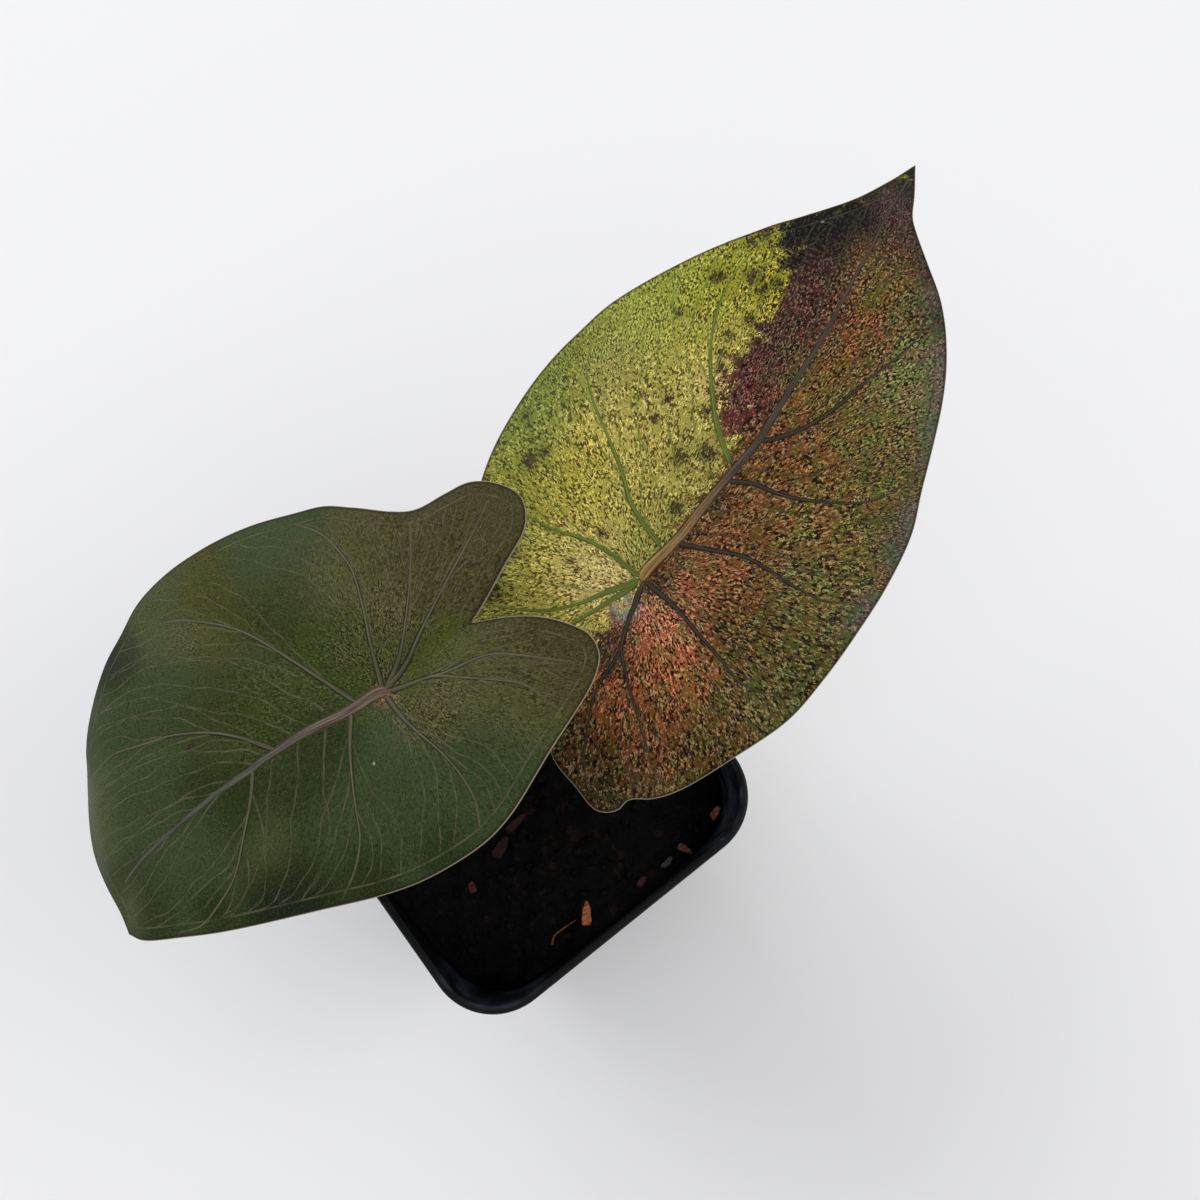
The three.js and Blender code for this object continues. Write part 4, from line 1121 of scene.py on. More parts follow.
# %% [markdown]
# ## The leaf material
# One material serves both leaves. It sets the washes of the two zones side by side by a ragged
# border and mottles the brown one. Then it darkens and lightens single flecks, and adds the pale
# spots and blotches. The veins come over this mosaic, and a dark line and a pale rim follow the
# margin. The underside is duller. The gloss is that of a waxy leaf in soft light.

# %% Define the mosaic of the blade
CREAM = (0.8, 0.66, 0.4, 1.0)
FLECK_RAGGED = 10.0
CLOUD_RAGGED = 16.0
BORDER_STEP = (-0.4, 0.4)
MOTTLE_SCALE = 0.3
MOTTLE_STEP = (0.42, 0.58)
MOTTLE_TINTS = ((1.28, 0.98, 1.04, 1.0), (0.87, 1.15, 0.8, 1.0))
CLOUD_SHARE = 0.35
LIGHT_STEP = (0.5, 0.62)
DARK_STEP = (0.495, 0.405)
DARK_LEAST = 0.4
PALE_RAGGED = 1.5
PALE_STEP = (0.1, -0.4)
PALE_SHOW = 0.6
BLOTCH_RAGGED = 3.5
BLOTCH_STEP = (0.45, 0.6)
BLOTCH_SHOW = 0.9


def centred(tree, value):
    """A noise value from 0 to 1, moved so that its mean is 0."""
    return minus(tree, value, 0.5)


def leaf_ground(tree, place, marks, flecks):
    """The washes of the green and the dark zone, side by side along a ragged border."""
    ragged = times(tree, centred(tree, flecks["Dark"]), FLECK_RAGGED)
    ragged = plus(tree, ragged, times(tree, centred(tree, flecks["Cloud"]), CLOUD_RAGGED))
    dark_side = soft_step(tree, plus(tree, marks["X"], ragged), *BORDER_STEP)
    mottle = soft_step(tree, noise_at(tree, place, MOTTLE_SCALE, 2.0, 0.6), *MOTTLE_STEP)
    brown = mix_colours(tree, mottle, *MOTTLE_TINTS)
    brown = mix_colours(tree, 1.0, read_attribute(tree, "ground_dark", "Color"), brown, "MULTIPLY")
    return mix_colours(tree, dark_side, read_attribute(tree, "ground_green", "Color"), brown)


def leaf_mosaic(tree, ground, marks, flecks, look):
    """Dark and light flecks on the ground, then pale spots and dark blotches."""
    darker = mix_colours(tree, 1.0, ground, (*look["dark_tint"], 1.0), "MULTIPLY")
    lighter = mix_colours(tree, look["cream"], scaled(tree, ground, look["gain"]), CREAM)
    shift = times(tree, centred(tree, flecks["Cloud"]), CLOUD_SHARE)
    speckle = read_attribute(tree, "ground_dark", "Alpha")
    light_fleck = soft_step(tree, minus(tree, flecks["Light"], shift), *LIGHT_STEP)
    light_fleck = times(tree, light_fleck, speckle)
    dark_fleck = soft_step(tree, plus(tree, flecks["Dark"], shift), *DARK_STEP)
    shown = plus(tree, DARK_LEAST, times(tree, speckle, 1 - DARK_LEAST))
    dark_fleck = times(tree, dark_fleck, shown)
    mosaic = mix_colours(tree, light_fleck, ground, lighter)
    mosaic = mix_colours(tree, dark_fleck, mosaic, darker)
    pale = plus(tree, marks["Y"], times(tree, flecks["Dark"], PALE_RAGGED))
    pale = times(tree, soft_step(tree, pale, *PALE_STEP), PALE_SHOW)
    mosaic = mix_colours(tree, pale, mosaic, colour("b4b09a"))
    blotch = times(tree, centred(tree, flecks["Light"]), BLOTCH_RAGGED)
    blotch = soft_step(tree, plus(tree, marks["Y"], blotch), *BLOTCH_STEP)
    return mix_colours(tree, times(tree, blotch, BLOTCH_SHOW), mosaic, colour("2a1a17"))


print("flecks show from", LIGHT_STEP[0], "up and from", DARK_STEP[0], "down")

# %% Define the paint of the veins and the margin
STRONG_STEP = (0.3, 0.7)
SHOWN_STEP = (0.05, 0.2)
MIDRIB_STEP = (0.85, 0.95)
MIDRIB_CORE = 0.5
STREAK_ACROSS = 8.0
STREAK_ALONG = 0.12
STREAK_STEP = (0.35, 0.65)
STREAK_LEAST = 0.45
FLANK_RAGGED = 0.6
FLANK_STEP = (0.98, 0.7)
FLANK_SHOW = 0.94
CORE_NARROWS = 0.9
CORE_STEP = (0.1, -0.1)
CORE_SHOW = 0.85
FAINT_SCALE = 0.35
FAINT_STEP = (0.3, 0.7)
FAINT_SHARE = 0.5
LINE_STEP = (0.75, 0.25)
LINE_SHOW = 0.75
RIM_STEP = (0.2, 0.08)
RIM_SHOW = 0.8


def paint_veins(tree, mosaic, place, flecks, fine_show):
    """Strong veins have a tinted flank, partly painted shade, and a paler core, partly a painted
    highlight on the crest. Of a fine vein only the core shows.
    """
    vein = parts_of(tree, read_attribute(tree, "vein_place"))
    across = maths(tree, "ABSOLUTE", vein["X"])
    strong = soft_step(tree, vein["Z"], *STRONG_STEP)
    streak_place = combine(tree, times(tree, vein["X"], STREAK_ACROSS),
                           times(tree, vein["Y"], STREAK_ALONG), vein["Z"])
    streak = soft_step(tree, noise_at(tree, streak_place, 1.0, 2.0), *STREAK_STEP)
    streak = plus(tree, streak, STREAK_LEAST)
    ragged = times(tree, centred(tree, flecks["Dark"]), FLANK_RAGGED)
    flank = soft_step(tree, plus(tree, across, ragged), *FLANK_STEP)
    flank = times(tree, flank, times(tree, strong, FLANK_SHOW))
    core_edge = minus(tree, 1.0, times(tree, vein["Z"], CORE_NARROWS))
    wider = times(tree, soft_step(tree, vein["Z"], *MIDRIB_STEP), MIDRIB_CORE)
    core = soft_step(tree, minus(tree, across, plus(tree, core_edge, wider)), *CORE_STEP)
    core = times(tree, core, soft_step(tree, vein["Z"], *SHOWN_STEP))
    faint = soft_step(tree, noise_at(tree, place, FAINT_SCALE, 2.0), *FAINT_STEP)
    faint = plus(tree, fine_show, times(tree, faint, FAINT_SHARE))
    core = times(tree, core, mix_values(tree, strong, faint, CORE_SHOW))
    # The flank colour is partly painted shade, the core colour partly a painted highlight.
    flank_and_shade_colour = scaled(tree, read_attribute(tree, "vein_flank_and_shade", "Color"), streak)
    core_and_highlight_colour = scaled(tree, read_attribute(tree, "vein_core_and_highlight", "Color"), streak)
    painted = mix_colours(tree, flank, mosaic, flank_and_shade_colour)
    return mix_colours(tree, core, painted, core_and_highlight_colour)


def paint_margin(tree, painted, edge):
    """A dark line just inside the margin, and the pale rim of the margin itself."""
    line = times(tree, soft_step(tree, edge, *LINE_STEP), LINE_SHOW)
    painted = mix_colours(tree, line, painted, colour("221a12"))
    rim = times(tree, soft_step(tree, edge, *RIM_STEP), RIM_SHOW)
    return mix_colours(tree, rim, painted, colour("958b70"))


print("the margin's dark line begins", LINE_STEP[0], "mm inside it")

# %% Build the leaf materials
RIGHT_LOOK = {"seed": 0.0, "finer": 1.0, "dark_tint": (0.1, 0.05, 0.0), "gain": 2.75,
              "cream": 0.2, "fine_show": 0.32, "underside": "5a5040"}
LEFT_LOOK = {"seed": 40.0, "finer": 1.4, "dark_tint": (0.3, 0.36, 0.14), "gain": 1.8,
             "cream": 0.07, "fine_show": 0.12, "underside": "4c4a42"}
UNDERSIDE_SHARE = 0.55
UNDERSIDE_GAIN = 0.8
LEAF_GLOSS = {"Roughness": 0.5, "Specular IOR Level": 0.1}


def leaf_material(name, look):
    """The look says how fine the flecks are and what they and the fine veins make of the ground."""
    material, tree, shader = new_material(name)
    place = read_attribute(tree, "leaf_place")
    marks = parts_of(tree, read_attribute(tree, "marks"))
    fleck_place = scaled(tree, place, look["finer"])
    flecks = place_group(tree, fleck_group, {"Place": fleck_place, "Seed": look["seed"]})
    ground = leaf_ground(tree, place, marks, flecks)
    mosaic = leaf_mosaic(tree, ground, marks, flecks, look)
    painted = paint_veins(tree, mosaic, place, flecks, look["fine_show"])
    painted = paint_margin(tree, painted, parts_of(tree, place)["Z"])
    below = mix_colours(tree, UNDERSIDE_SHARE, scaled(tree, painted, UNDERSIDE_GAIN),
                        colour(look["underside"]))
    skin = mix_colours(tree, marks["Z"], below, painted)
    fill_sockets(tree, shader.inputs, {"Base Color": skin, **LEAF_GLOSS})
    add_bump(tree, shader, plus(tree, flecks["Dark"], flecks["Light"]), 0.04, 0.6)
    return material


right_skin = leaf_material("marbled_leaf", RIGHT_LOOK)
left_skin = leaf_material("green_leaf", LEFT_LOOK)
print("leaf materials:", right_skin.name, "and", left_skin.name)

# %% [markdown]
# ## Both leaves
# The blade and its veins are two pieces that share one material, so that either can be studied or
# changed alone.

# %% Make the leaves
for leaf, skin in ((RIGHT_LEAF, right_skin), (LEFT_LEAF, left_skin)):
    for part, shape in (("blade", blade_bmesh), ("veins", veins_bmesh)):
        dress_leaf(leaf, shape(leaf), leaf["name"] + "_" + part, skin)

# %% [markdown]
# ## Stalks
# Each leaf rides on one stalk, round above and with a groove at its foot, where it once wrapped
# the next leaf. A curve with a bevel would give a plain tube. A grid wrapped round the path
# instead lets the formula change the section on the way: wide and grooved below, slim above, and
# flaring into the underside of the blade.

# %% Define the stalks
STALK_PATHS = {
    "petiole_right": (RIGHT_LEAF, [
        (0.1, 3.2, 72.5), (1.4, 3.4, 89), (8.5, 4.1, 106.5), (21, 5.1, 121),
    ]),
    "petiole_left": (LEFT_LEAF, [
        (-6.2, 4.8, 72.5), (-6.8, 6, 95), (-8.2, 9, 116), (-10, 12.3, 132),
    ]),
}
STALK_RADII = (2.85, 1.5)
SLIM_RATE = 1.15
SLIM_POWER = 0.7
FLARE = 1.0
FLARE_START = 0.94
GROOVE_DEPTH = 0.28
GROOVE_END = 0.5
GROOVE_TURN = 0.4
GROOVE_WIDTH = 0.22
# Each set of fine ridges has its height, its number round the stalk and its twist.
STALK_RIDGES = [(0.03, 17, 3), (0.02, 29, 0)]
STALK_STEPS = 220
STALK_SIDES = 56
STUB_LENGTH = 4.8
ROOT_LIFT = 0.1
STALK_SINK = 0.15


def travelling_frames(line):
    """Two directions square to the path at each point, carried along without twist."""
    run = np.gradient(line, axis=0)
    run /= np.linalg.norm(run, axis=1)[:, None]
    side = np.cross(run[0], (0.0, 1.0, 0.0))
    sides = []
    for direction in run:
        side = side - direction * (side @ direction)
        side = side / np.linalg.norm(side)
        sides.append(side)
    sides = np.array(sides)
    return sides, np.cross(run, sides)


def round_path(line, row, turn, radius):
    """Points round a path: at a row of it, turned so far, and a radius away from it."""
    first, second = travelling_frames(line)
    return line[row] + (first[row] * np.cos(turn)[:, None] +
                        second[row] * np.sin(turn)[:, None]) * radius[:, None]


def stalk_bmesh(leaf, path):
    """One stalk in millimetres, from its foot in the crown to the underside of the blade."""
    middle = np.zeros(1)
    under = blade_height(leaf, middle, middle, middle)[0] - BLADE_THICKNESS
    root = np.array(leaf_placement(leaf) @ Vector((0, 0, under + ROOT_LIFT)))
    away = np.array(path[-1]) - root
    away /= np.linalg.norm(away)
    stub = [root + away * 1.5 * STUB_LENGTH, root + away * STUB_LENGTH, root]
    line = smooth_line([*path, *stub], STALK_STEPS)
    walked = lengths(line)

    def place(u, v):
        row = np.rint(u * STALK_STEPS).astype(int)
        share = walked[row] / walked[-1]
        turn = 2 * math.pi * v
        slim = np.minimum(1, SLIM_RATE * share) ** SLIM_POWER
        radius = between(STALK_RADII, slim)
        radius = radius + FLARE * np.clip((share - FLARE_START) / (1 - FLARE_START), 0, 1) ** 2
        groove = GROOVE_DEPTH * np.clip(1 - share / GROOVE_END, 0, 1) ** 0.5
        radius = radius * (1 - groove * bell(np.sin(turn / 2 - GROOVE_TURN), GROOVE_WIDTH))
        ridges = sum(height * np.sin(count * turn + twist * share)
                     for height, count, twist in STALK_RIDGES)
        radius = np.where((row == 0) | (row == STALK_STEPS), 0, radius + ridges)
        spot = round_path(line, row, turn, radius)
        return np.column_stack([spot, turn, walked[row], share])

    bm = shaped_grid(STALK_STEPS, STALK_SIDES, place, notes="stalk_place")
    to_leaf = leaf_placement(leaf).inverted()
    local = np.array([to_leaf @ vert.co for vert in bm.verts])
    out = out_fraction(leaf, local[:, 0], local[:, 1])
    ceiling = blade_height(leaf, local[:, 0], local[:, 1], out) - BLADE_THICKNESS + STALK_SINK
    for vert, spot, top in zip(bm.verts, local, ceiling):
        if vert.co.z > path[-1][2]:
            vert.co = leaf_placement(leaf) @ Vector((spot[0], spot[1], min(spot[2], top)))
    return bm


print("stalks to make:", ", ".join(STALK_PATHS))

# %% Make the stalks
STALK_AROUND = 6.0
STALK_STREAK_ALONG = 0.12
STALK_SPECK_ALONG = 0.9


def stalk_material():
    """Dark purple-brown skin with fine streaks and small pale flecks along the stalk."""
    material, tree, shader = new_material("stalk_skin")
    split = parts_of(tree, read_attribute(tree, "stalk_place"))
    around = [times(tree, maths(tree, way, split["X"]), STALK_AROUND) for way in ("COSINE", "SINE")]
    streak_place = combine(tree, *around, times(tree, split["Y"], STALK_STREAK_ALONG))
    speck_place = combine(tree, *around, times(tree, split["Y"], STALK_SPECK_ALONG))
    streak = noise_at(tree, streak_place, 1.0, 4.0, 0.6)
    speck = noise_at(tree, speck_place, 1.6, 1.0)
    upward = soft_step(tree, split["Z"], 0.1, 0.9)
    skin = mix_colours(tree, upward, colour("4a2b2a"), colour("5a4636"))
    skin = mix_colours(tree, soft_step(tree, streak, 0.45, 0.65), skin, colour("2c1a1c"))
    skin = mix_colours(tree, soft_step(tree, speck, 0.62, 0.7), skin, colour("8a6a58"))
    fill_sockets(tree, shader.inputs, {"Base Color": skin, "Roughness": 0.42})
    add_bump(tree, shader, streak, 0.12, 0.8)
    return material


stalk_skin = stalk_material()
for name, (leaf, path) in STALK_PATHS.items():
    make_piece(name + "_skin", stalk_bmesh(leaf, path), stalk_skin, [name])

# %% [markdown]
# ## The pot
# A thin-walled nursery pot, pressed from black plastic: square with round corners, tapered, with
# a deeper band under the rim and round holes in its floor. Its wall could be extruded and scaled
# step by step. Here its section is one closed profile, and a grid carries that profile round the
# rounded square, so every height has its own width and its own corner radius.

# %% Define the pot's shape
POT_HEIGHT = 78.0
RIM_HALF = 40.0
RIM_CORNER = 14.4
BAND_TOP = 66.0
FLOOR_TOP = 1.4
WALL = 1.1
LIP_ROUND = 0.7
INNER_HALVES = (28.4, 38.2)
INNER_CORNERS = (7.9, 12.6)
INNER_WALL_ENDS = (76.0, 3.5)
WALL_STEPS = 14
LIP_STEPS = 5
CORNER_STEPS = 18
EDGE_STEPS = 14
DRAIN_RADIUS = 3.0
DRAIN_SPACING = 18.0
DRAIN_SIDES = 32
CUTTER_DEPTH = 4.0


def inner_half(z):
    """Half the width between the inner walls at a height."""
    return between(INNER_HALVES, z / POT_HEIGHT)


def inner_corner(z):
    """The radius of the inner corners at a height."""
    return between(INNER_CORNERS, z / POT_HEIGHT)


def rounded_square(turns, half, corner):
    """Points on a rounded square. Whole turns run round it, a quarter for each side and corner."""
    side = np.floor(turns * 4 - 1e-9) % 4
    within = turns * 4 - np.floor(turns * 4 - 1e-9)
    edge_share = EDGE_STEPS / (EDGE_STEPS + CORNER_STEPS)
    along = np.clip(within / edge_share, 0, 1)
    bend = np.clip((within - edge_share) / (1 - edge_share), 0, 1) * math.pi / 2
    x = half - corner + corner * np.cos(bend)
    y = np.where(within <= edge_share, (half - corner) * (2 * along - 1),
                 half - corner + corner * np.sin(bend))
    x = np.where(within <= edge_share, half, x)
    angle = side * math.pi / 2
    return x * np.cos(angle) - y * np.sin(angle), x * np.sin(angle) + y * np.cos(angle)


def pot_profile():
    """The wall's section as (half width, corner radius, height), from the floor round to the floor."""
    def outside(z, step=0.0):
        return inner_half(z) + WALL + step, inner_corner(z) + WALL + step, z

    def inside_top(step, down):
        return INNER_HALVES[1] + step, INNER_CORNERS[1] + step, POT_HEIGHT - down

    lip = []
    for angle in np.linspace(0, math.pi / 2, LIP_STEPS):
        back = LIP_ROUND * (1 - math.cos(angle))
        up = LIP_ROUND * math.sin(angle)
        lip.append((RIM_HALF - back, RIM_CORNER - back, POT_HEIGHT - LIP_ROUND + up))
    base = [(0.02, 0.01, 0), (12, 4, 0), (27, 7.5, 0), (28.8, 8.3, 0), (29.3, 8.8, 0.2), (29.5, 9, 0.7)]
    lower = [outside(z) for z in np.linspace(2, BAND_TOP, WALL_STEPS)]
    band = [outside(BAND_TOP + rise, step) for rise, step in ((0.25, 0.15), (0.6, 0.65), (0.9, 0.8))]
    top = [inside_top(0.35, 0), inside_top(0.08, 0.12), inside_top(0, 0.35)]
    inner = [(inner_half(z), inner_corner(z), z) for z in np.linspace(*INNER_WALL_ENDS, WALL_STEPS)]
    floor_rings = [(28.2, 7.7, 2.0), *((half, corner, FLOOR_TOP)
                                       for half, corner in ((27.2, 7.0), (12, 4), (0.02, 0.01)))]
    return [*base, *lower, *band, *lip, *top, *inner, *floor_rings]


def pot_bmesh():
    """The whole pot in millimetres, still without its drain holes."""
    profile = np.array(pot_profile())
    rows = len(profile) - 1

    def place(u, v):
        row = np.rint(v * rows).astype(int)
        x, y = rounded_square(u, profile[row, 0], profile[row, 1])
        return np.column_stack([x, y, profile[row, 2]])

    return shaped_grid(4 * (CORNER_STEPS + EDGE_STEPS), rows, place, merge=0.05, fill=True)


def cut_drains(piece):
    """Cuts the drain holes: eight round cutters and one Boolean that is applied."""
    cutters = bmesh.new()
    for x in (-DRAIN_SPACING, 0, DRAIN_SPACING):
        for y in (-DRAIN_SPACING, 0, DRAIN_SPACING):
            if x or y:
                spot = Matrix.Translation(Vector((x, y, FLOOR_TOP / 2)) * MM)
                bmesh.ops.create_cone(
                    cutters, cap_ends=True, segments=DRAIN_SIDES, radius1=DRAIN_RADIUS * MM,
                    radius2=DRAIN_RADIUS * MM, depth=CUTTER_DEPTH * MM, matrix=spot)
    cutter = add_object("drain_cutters", mesh_from("drain_cutters", cutters))
    cut = piece.modifiers.new("drains", "BOOLEAN")
    cut.object = cutter
    cut.solver = "EXACT"
    bpy.context.view_layer.update()
    seen = piece.evaluated_get(bpy.context.evaluated_depsgraph_get())
    drilled = bpy.data.meshes.new_from_object(seen)
    piece.modifiers.clear()
    piece.data = drilled
    bpy.data.objects.remove(cutter)
    print("pot with drains:", len(drilled.polygons), "faces")


print("pot wall points:", len(pot_profile()))

# %% Make the pot
# The first four numbers place the painted sheen of the sky in the pot's inner corners.
POT_SHEEN_CORNER = (0.5, 0.7)
POT_SHEEN_HEIGHT = (50.0, 62.0)
POT_SHEEN_PATCH = (0.3, 0.7)
POT_SHEEN_SHOW = 0.8
DUST_STEP = (0.5, 0.75)
DUST_SHOW = 0.3
SPECK_STEP = (0.68, 0.74)
SPECK_SHOW = 0.35
POT_ROUGHNESS = 0.36
DUST_ROUGHNESS = 0.25
POT_SPECULAR = 0.16
POT_SHARP_EDGE = math.radians(35)


def pot_painted_sheen(tree, place):
    """Where the painted sheen lies: a pale bluish reflection of the sky on the inner wall's corners. The
    product of x and y is large in the corners only, and an attribute marks the inner wall."""
    ways = parts_of(tree, place)
    widening = inner_half(1.0) - inner_half(0.0)
    half = plus(tree, inner_half(0.0), times(tree, ways["Z"], widening))
    corner = maths(tree, "ABSOLUTE", times(tree, ways["X"], ways["Y"]))
    corner = maths(tree, "DIVIDE", corner, times(tree, half, half))
    inner_wall = read_attribute(tree, "inner_wall", "Fac")
    within = times(tree, soft_step(tree, corner, *POT_SHEEN_CORNER), inner_wall)
    within = times(tree, within, soft_step(tree, ways["Z"], *POT_SHEEN_HEIGHT))
    return times(tree, within, soft_step(tree, noise_at(tree, place, 0.2), *POT_SHEEN_PATCH))


def pot_material():
    """Black plastic: a fine moulded grain, dust in patches, and a painted sheen of the sky inside the
    corners.
    """
    material, tree, shader = new_material("black_plastic")
    place = object_place(tree)
    dust = soft_step(tree, noise_at(tree, place, 0.06, 5.0, 0.65), *DUST_STEP)
    speck = soft_step(tree, noise_at(tree, place, 1.1, 2.0, 0.6), *SPECK_STEP)
    skin = mix_colours(tree, times(tree, dust, DUST_SHOW), colour("08090a"), colour("1d1e20"))
    skin = mix_colours(tree, times(tree, speck, SPECK_SHOW), skin, colour("453b33"))
    # Painted sheen: the pale sky reflected in the inner wall's corners, painted as a pale bluish colour.
    painted_sheen = times(tree, pot_painted_sheen(tree, place), POT_SHEEN_SHOW)
    skin = mix_colours(tree, painted_sheen, skin, colour("343846"))
    rough = plus(tree, POT_ROUGHNESS, times(tree, dust, DUST_ROUGHNESS))
    fill_sockets(tree, shader.inputs, {
        "Base Color": skin, "Roughness": rough, "Specular IOR Level": POT_SPECULAR})
    add_bump(tree, shader, noise_at(tree, place, 2.4, 2.0), 0.05, 0.5)
    return material


pot = make_piece("pot_shell", pot_bmesh(), pot_material(), ["pot"])
cut_drains(pot)
set_attribute(pot.data, "inner_wall", "FLOAT", [
    vertex.normal.x * vertex.co.x + vertex.normal.y * vertex.co.y < 0
    for vertex in pot.data.vertices])
pot.data.set_sharp_from_angle(angle=POT_SHARP_EDGE)

# %% [markdown]
# ## The potting mix
# Damp, nearly black mix: bark fines and fibre with crumbs lying on top. The body of it is one
# closed block whose upper face follows the solid's formula, roughened by noise. The crumbs are
# small balls knocked out of round and strewn with a seeded rule, denser than they look, because
# the material keeps them almost as dark as the ground.

# %% Define the potting mix
SOIL_LEVEL = 75.4
SOIL_CORNER_DROP = 15.0
SOIL_CORNER = 34.0
SOIL_CORNER_POWER = 1.6
SOIL_LUMP = 0.55
SOIL_GAP = 0.3
SOIL_FLOOR = 1.7
CROWN = (-3.0, 4.0)
CROWN_DIP = 1.6
CROWN_WIDTH = 13.0
# Each kind of grain has its height, its pitch and its layer of the noise.
COARSE_GRAIN = (0.9, 0.45, 3.1)
FINE_GRAIN = (0.5, 1.3, 7.7)
GRAIN_RISE = 20.0
GRAIN_AT_EDGE = 0.3
SOIL_ROUND = 256
SOIL_RINGS = 110
SOIL_WALL_ROWS = 3
SOIL_HALF_AT = 70.0
SOIL_EDGE = 0.35
POLE = 0.001


def soil_height(x, y):
    """The height of the mix: lumpy, lower in the corners and round the feet of the stalks."""
    corner = np.minimum(1, np.abs(x * y) / SOIL_CORNER**2)
    lumps = (np.sin(0.55 * x + 1.3) * np.cos(0.47 * y - 0.4) + 0.6 * np.sin(0.9 * x - 0.8 * y)
             + 0.5 * np.cos(1.15 * y + 0.35 * x))
    dip = CROWN_DIP * bell(np.hypot(x - CROWN[0], y - CROWN[1]), CROWN_WIDTH)
    return SOIL_LEVEL - SOIL_CORNER_DROP * corner**SOIL_CORNER_POWER + SOIL_LUMP * lumps - dip


def grain_height(x, y):
    """The grain of the mix: coarse bits a few millimetres across and fine ones below one."""
    height, pitch, layer = COARSE_GRAIN
    coarse = [height * abs(noise.noise((a * pitch, b * pitch, layer))) for a, b in zip(x, y)]
    height, pitch, layer = FINE_GRAIN
    fine = [height * noise.noise((a * pitch, b * pitch, layer)) for a, b in zip(x, y)]
    return np.add(coarse, fine)


def soil_bmesh():
    """The block of mix: rings out to the wall, rows down the wall, and a flat underside."""
    rows = SOIL_RINGS + SOIL_WALL_ROWS + 1

    def place(u, v):
        row = np.rint(v * rows).astype(int)
        out = np.clip(row / SOIL_RINGS, POLE, 1)
        half = inner_half(SOIL_HALF_AT) - SOIL_GAP - SOIL_EDGE
        x, y = rounded_square(u, half * out, inner_corner(SOIL_HALF_AT) * out)
        rough = np.minimum(1, (1 - out) * GRAIN_RISE + GRAIN_AT_EDGE)
        top = soil_height(x, y) + grain_height(x, y) * rough
        reach = (inner_half(top) - SOIL_GAP) / half
        on_edge = row >= SOIL_RINGS
        x, y = np.where(on_edge, x * reach, x), np.where(on_edge, y * reach, y)
        low_half, low_corner = inner_half(SOIL_FLOOR) - SOIL_GAP, inner_corner(SOIL_FLOOR)
        low_x, low_y = rounded_square(u, low_half, low_corner)
        below = np.clip(row - SOIL_RINGS, 0, SOIL_WALL_ROWS) / SOIL_WALL_ROWS
        x, y = x + (low_x - x) * below, y + (low_y - y) * below
        z = np.where(row < SOIL_RINGS, top, top + (SOIL_FLOOR - top) * below)
        closing = np.where(row == rows, POLE, 1)
        return np.column_stack([x * closing, y * closing, z])

    return shaped_grid(SOIL_ROUND, rows, place, merge=0.02, fill=True)


print("mix level in the middle:", round(float(soil_height(0.0, 0.0)), 1), "mm")

# %% Make the potting mix
CRUMBS = 1100
CRUMB_SIZES = (0.35, 1.5)
CRUMB_RARITY = 2.5
CRUMB_FIELD = 36
CRUMB_LIMIT = 35.5
CRUMB_CORNER = (24, 11)
CRUMB_RAISED = 0.35
CRUMB_SHRINK = (0.6, 1.0)
CRUMB_KNOCK = 0.2
BALL_POINTS = 12
GRAIN_STEP = (0.4, 0.7)
BIT_STEP = (0.9, 0.98)
SOIL_ROUGHNESS = 0.95
SOIL_SPECULAR = 0.1


def crumbs_bmesh():
    """Loose bits of mix on the surface, each a small ball knocked out of round."""
    strew = np.random.default_rng(11)
    corner_start, corner_round = CRUMB_CORNER
    bm = bmesh.new()
    while len(bm.verts) < CRUMBS * BALL_POINTS:
        x, y = strew.uniform(-CRUMB_FIELD, CRUMB_FIELD, 2)
        past_x, past_y = (max(0, abs(way) - corner_start) for way in (x, y))
        if max(abs(x), abs(y)) > CRUMB_LIMIT or math.hypot(past_x, past_y) > corner_round:
            continue
        size = between(CRUMB_SIZES, strew.random() ** CRUMB_RARITY)
        stretch = strew.uniform(*CRUMB_SHRINK, 3)
        height = soil_height(x, y) + CRUMB_RAISED * size
        turn = Euler(strew.uniform(0, 2 * math.pi, 3)).to_matrix().to_4x4()
        grow = Matrix.Diagonal((*(size * stretch), 1))
        spot = Matrix.Translation((x, y, height))
        made = bmesh.ops.create_icosphere(bm, subdivisions=1, radius=1.0, matrix=spot @ turn @ grow)
        for vert in made["verts"]:
            vert.co += Vector(strew.uniform(-CRUMB_KNOCK, CRUMB_KNOCK, 3) * size)
    return bm


def soil_material(name, lift):
    """Nearly black mix with a few brown bits. The lift says how many more there are."""
    material, tree, shader = new_material(name)
    place = object_place(tree)
    grain = noise_at(tree, place, 0.9, 5.0, 0.7)
    bits = add_node(tree, "TexVoronoi", None, {"Vector": place, "Scale": 0.7}).outputs
    tone = parts_of(tree, bits["Color"])["X"]
    brown = soft_step(tree, tone, BIT_STEP[0] - lift, BIT_STEP[1])
    skin = mix_colours(tree, soft_step(tree, grain, *GRAIN_STEP), colour("040404"), colour("0a0908"))
    skin = mix_colours(tree, brown, skin, colour("180e0a"))
    fill_sockets(tree, shader.inputs, {
        "Base Color": skin, "Roughness": SOIL_ROUGHNESS, "Specular IOR Level": SOIL_SPECULAR})
    add_bump(tree, shader, grain, 0.5, 0.9)
    return material


make_piece("potting_mix_body", soil_bmesh(), soil_material("damp_mix", 0.0), ["soil"])
make_piece("potting_mix_crumbs", crumbs_bmesh(), soil_material("loose_mix", 0.1))

# %% [markdown]
# ## Bits of bark, and one root
# A few bits catch the eye on the black mix: split bark, orange where it is fresh and red-brown or
# grey where it is old, and one dry root fibre. Each bit of bark is a block that is cut finer, with
# its corners rounded off and its faces split along the grain by noise.

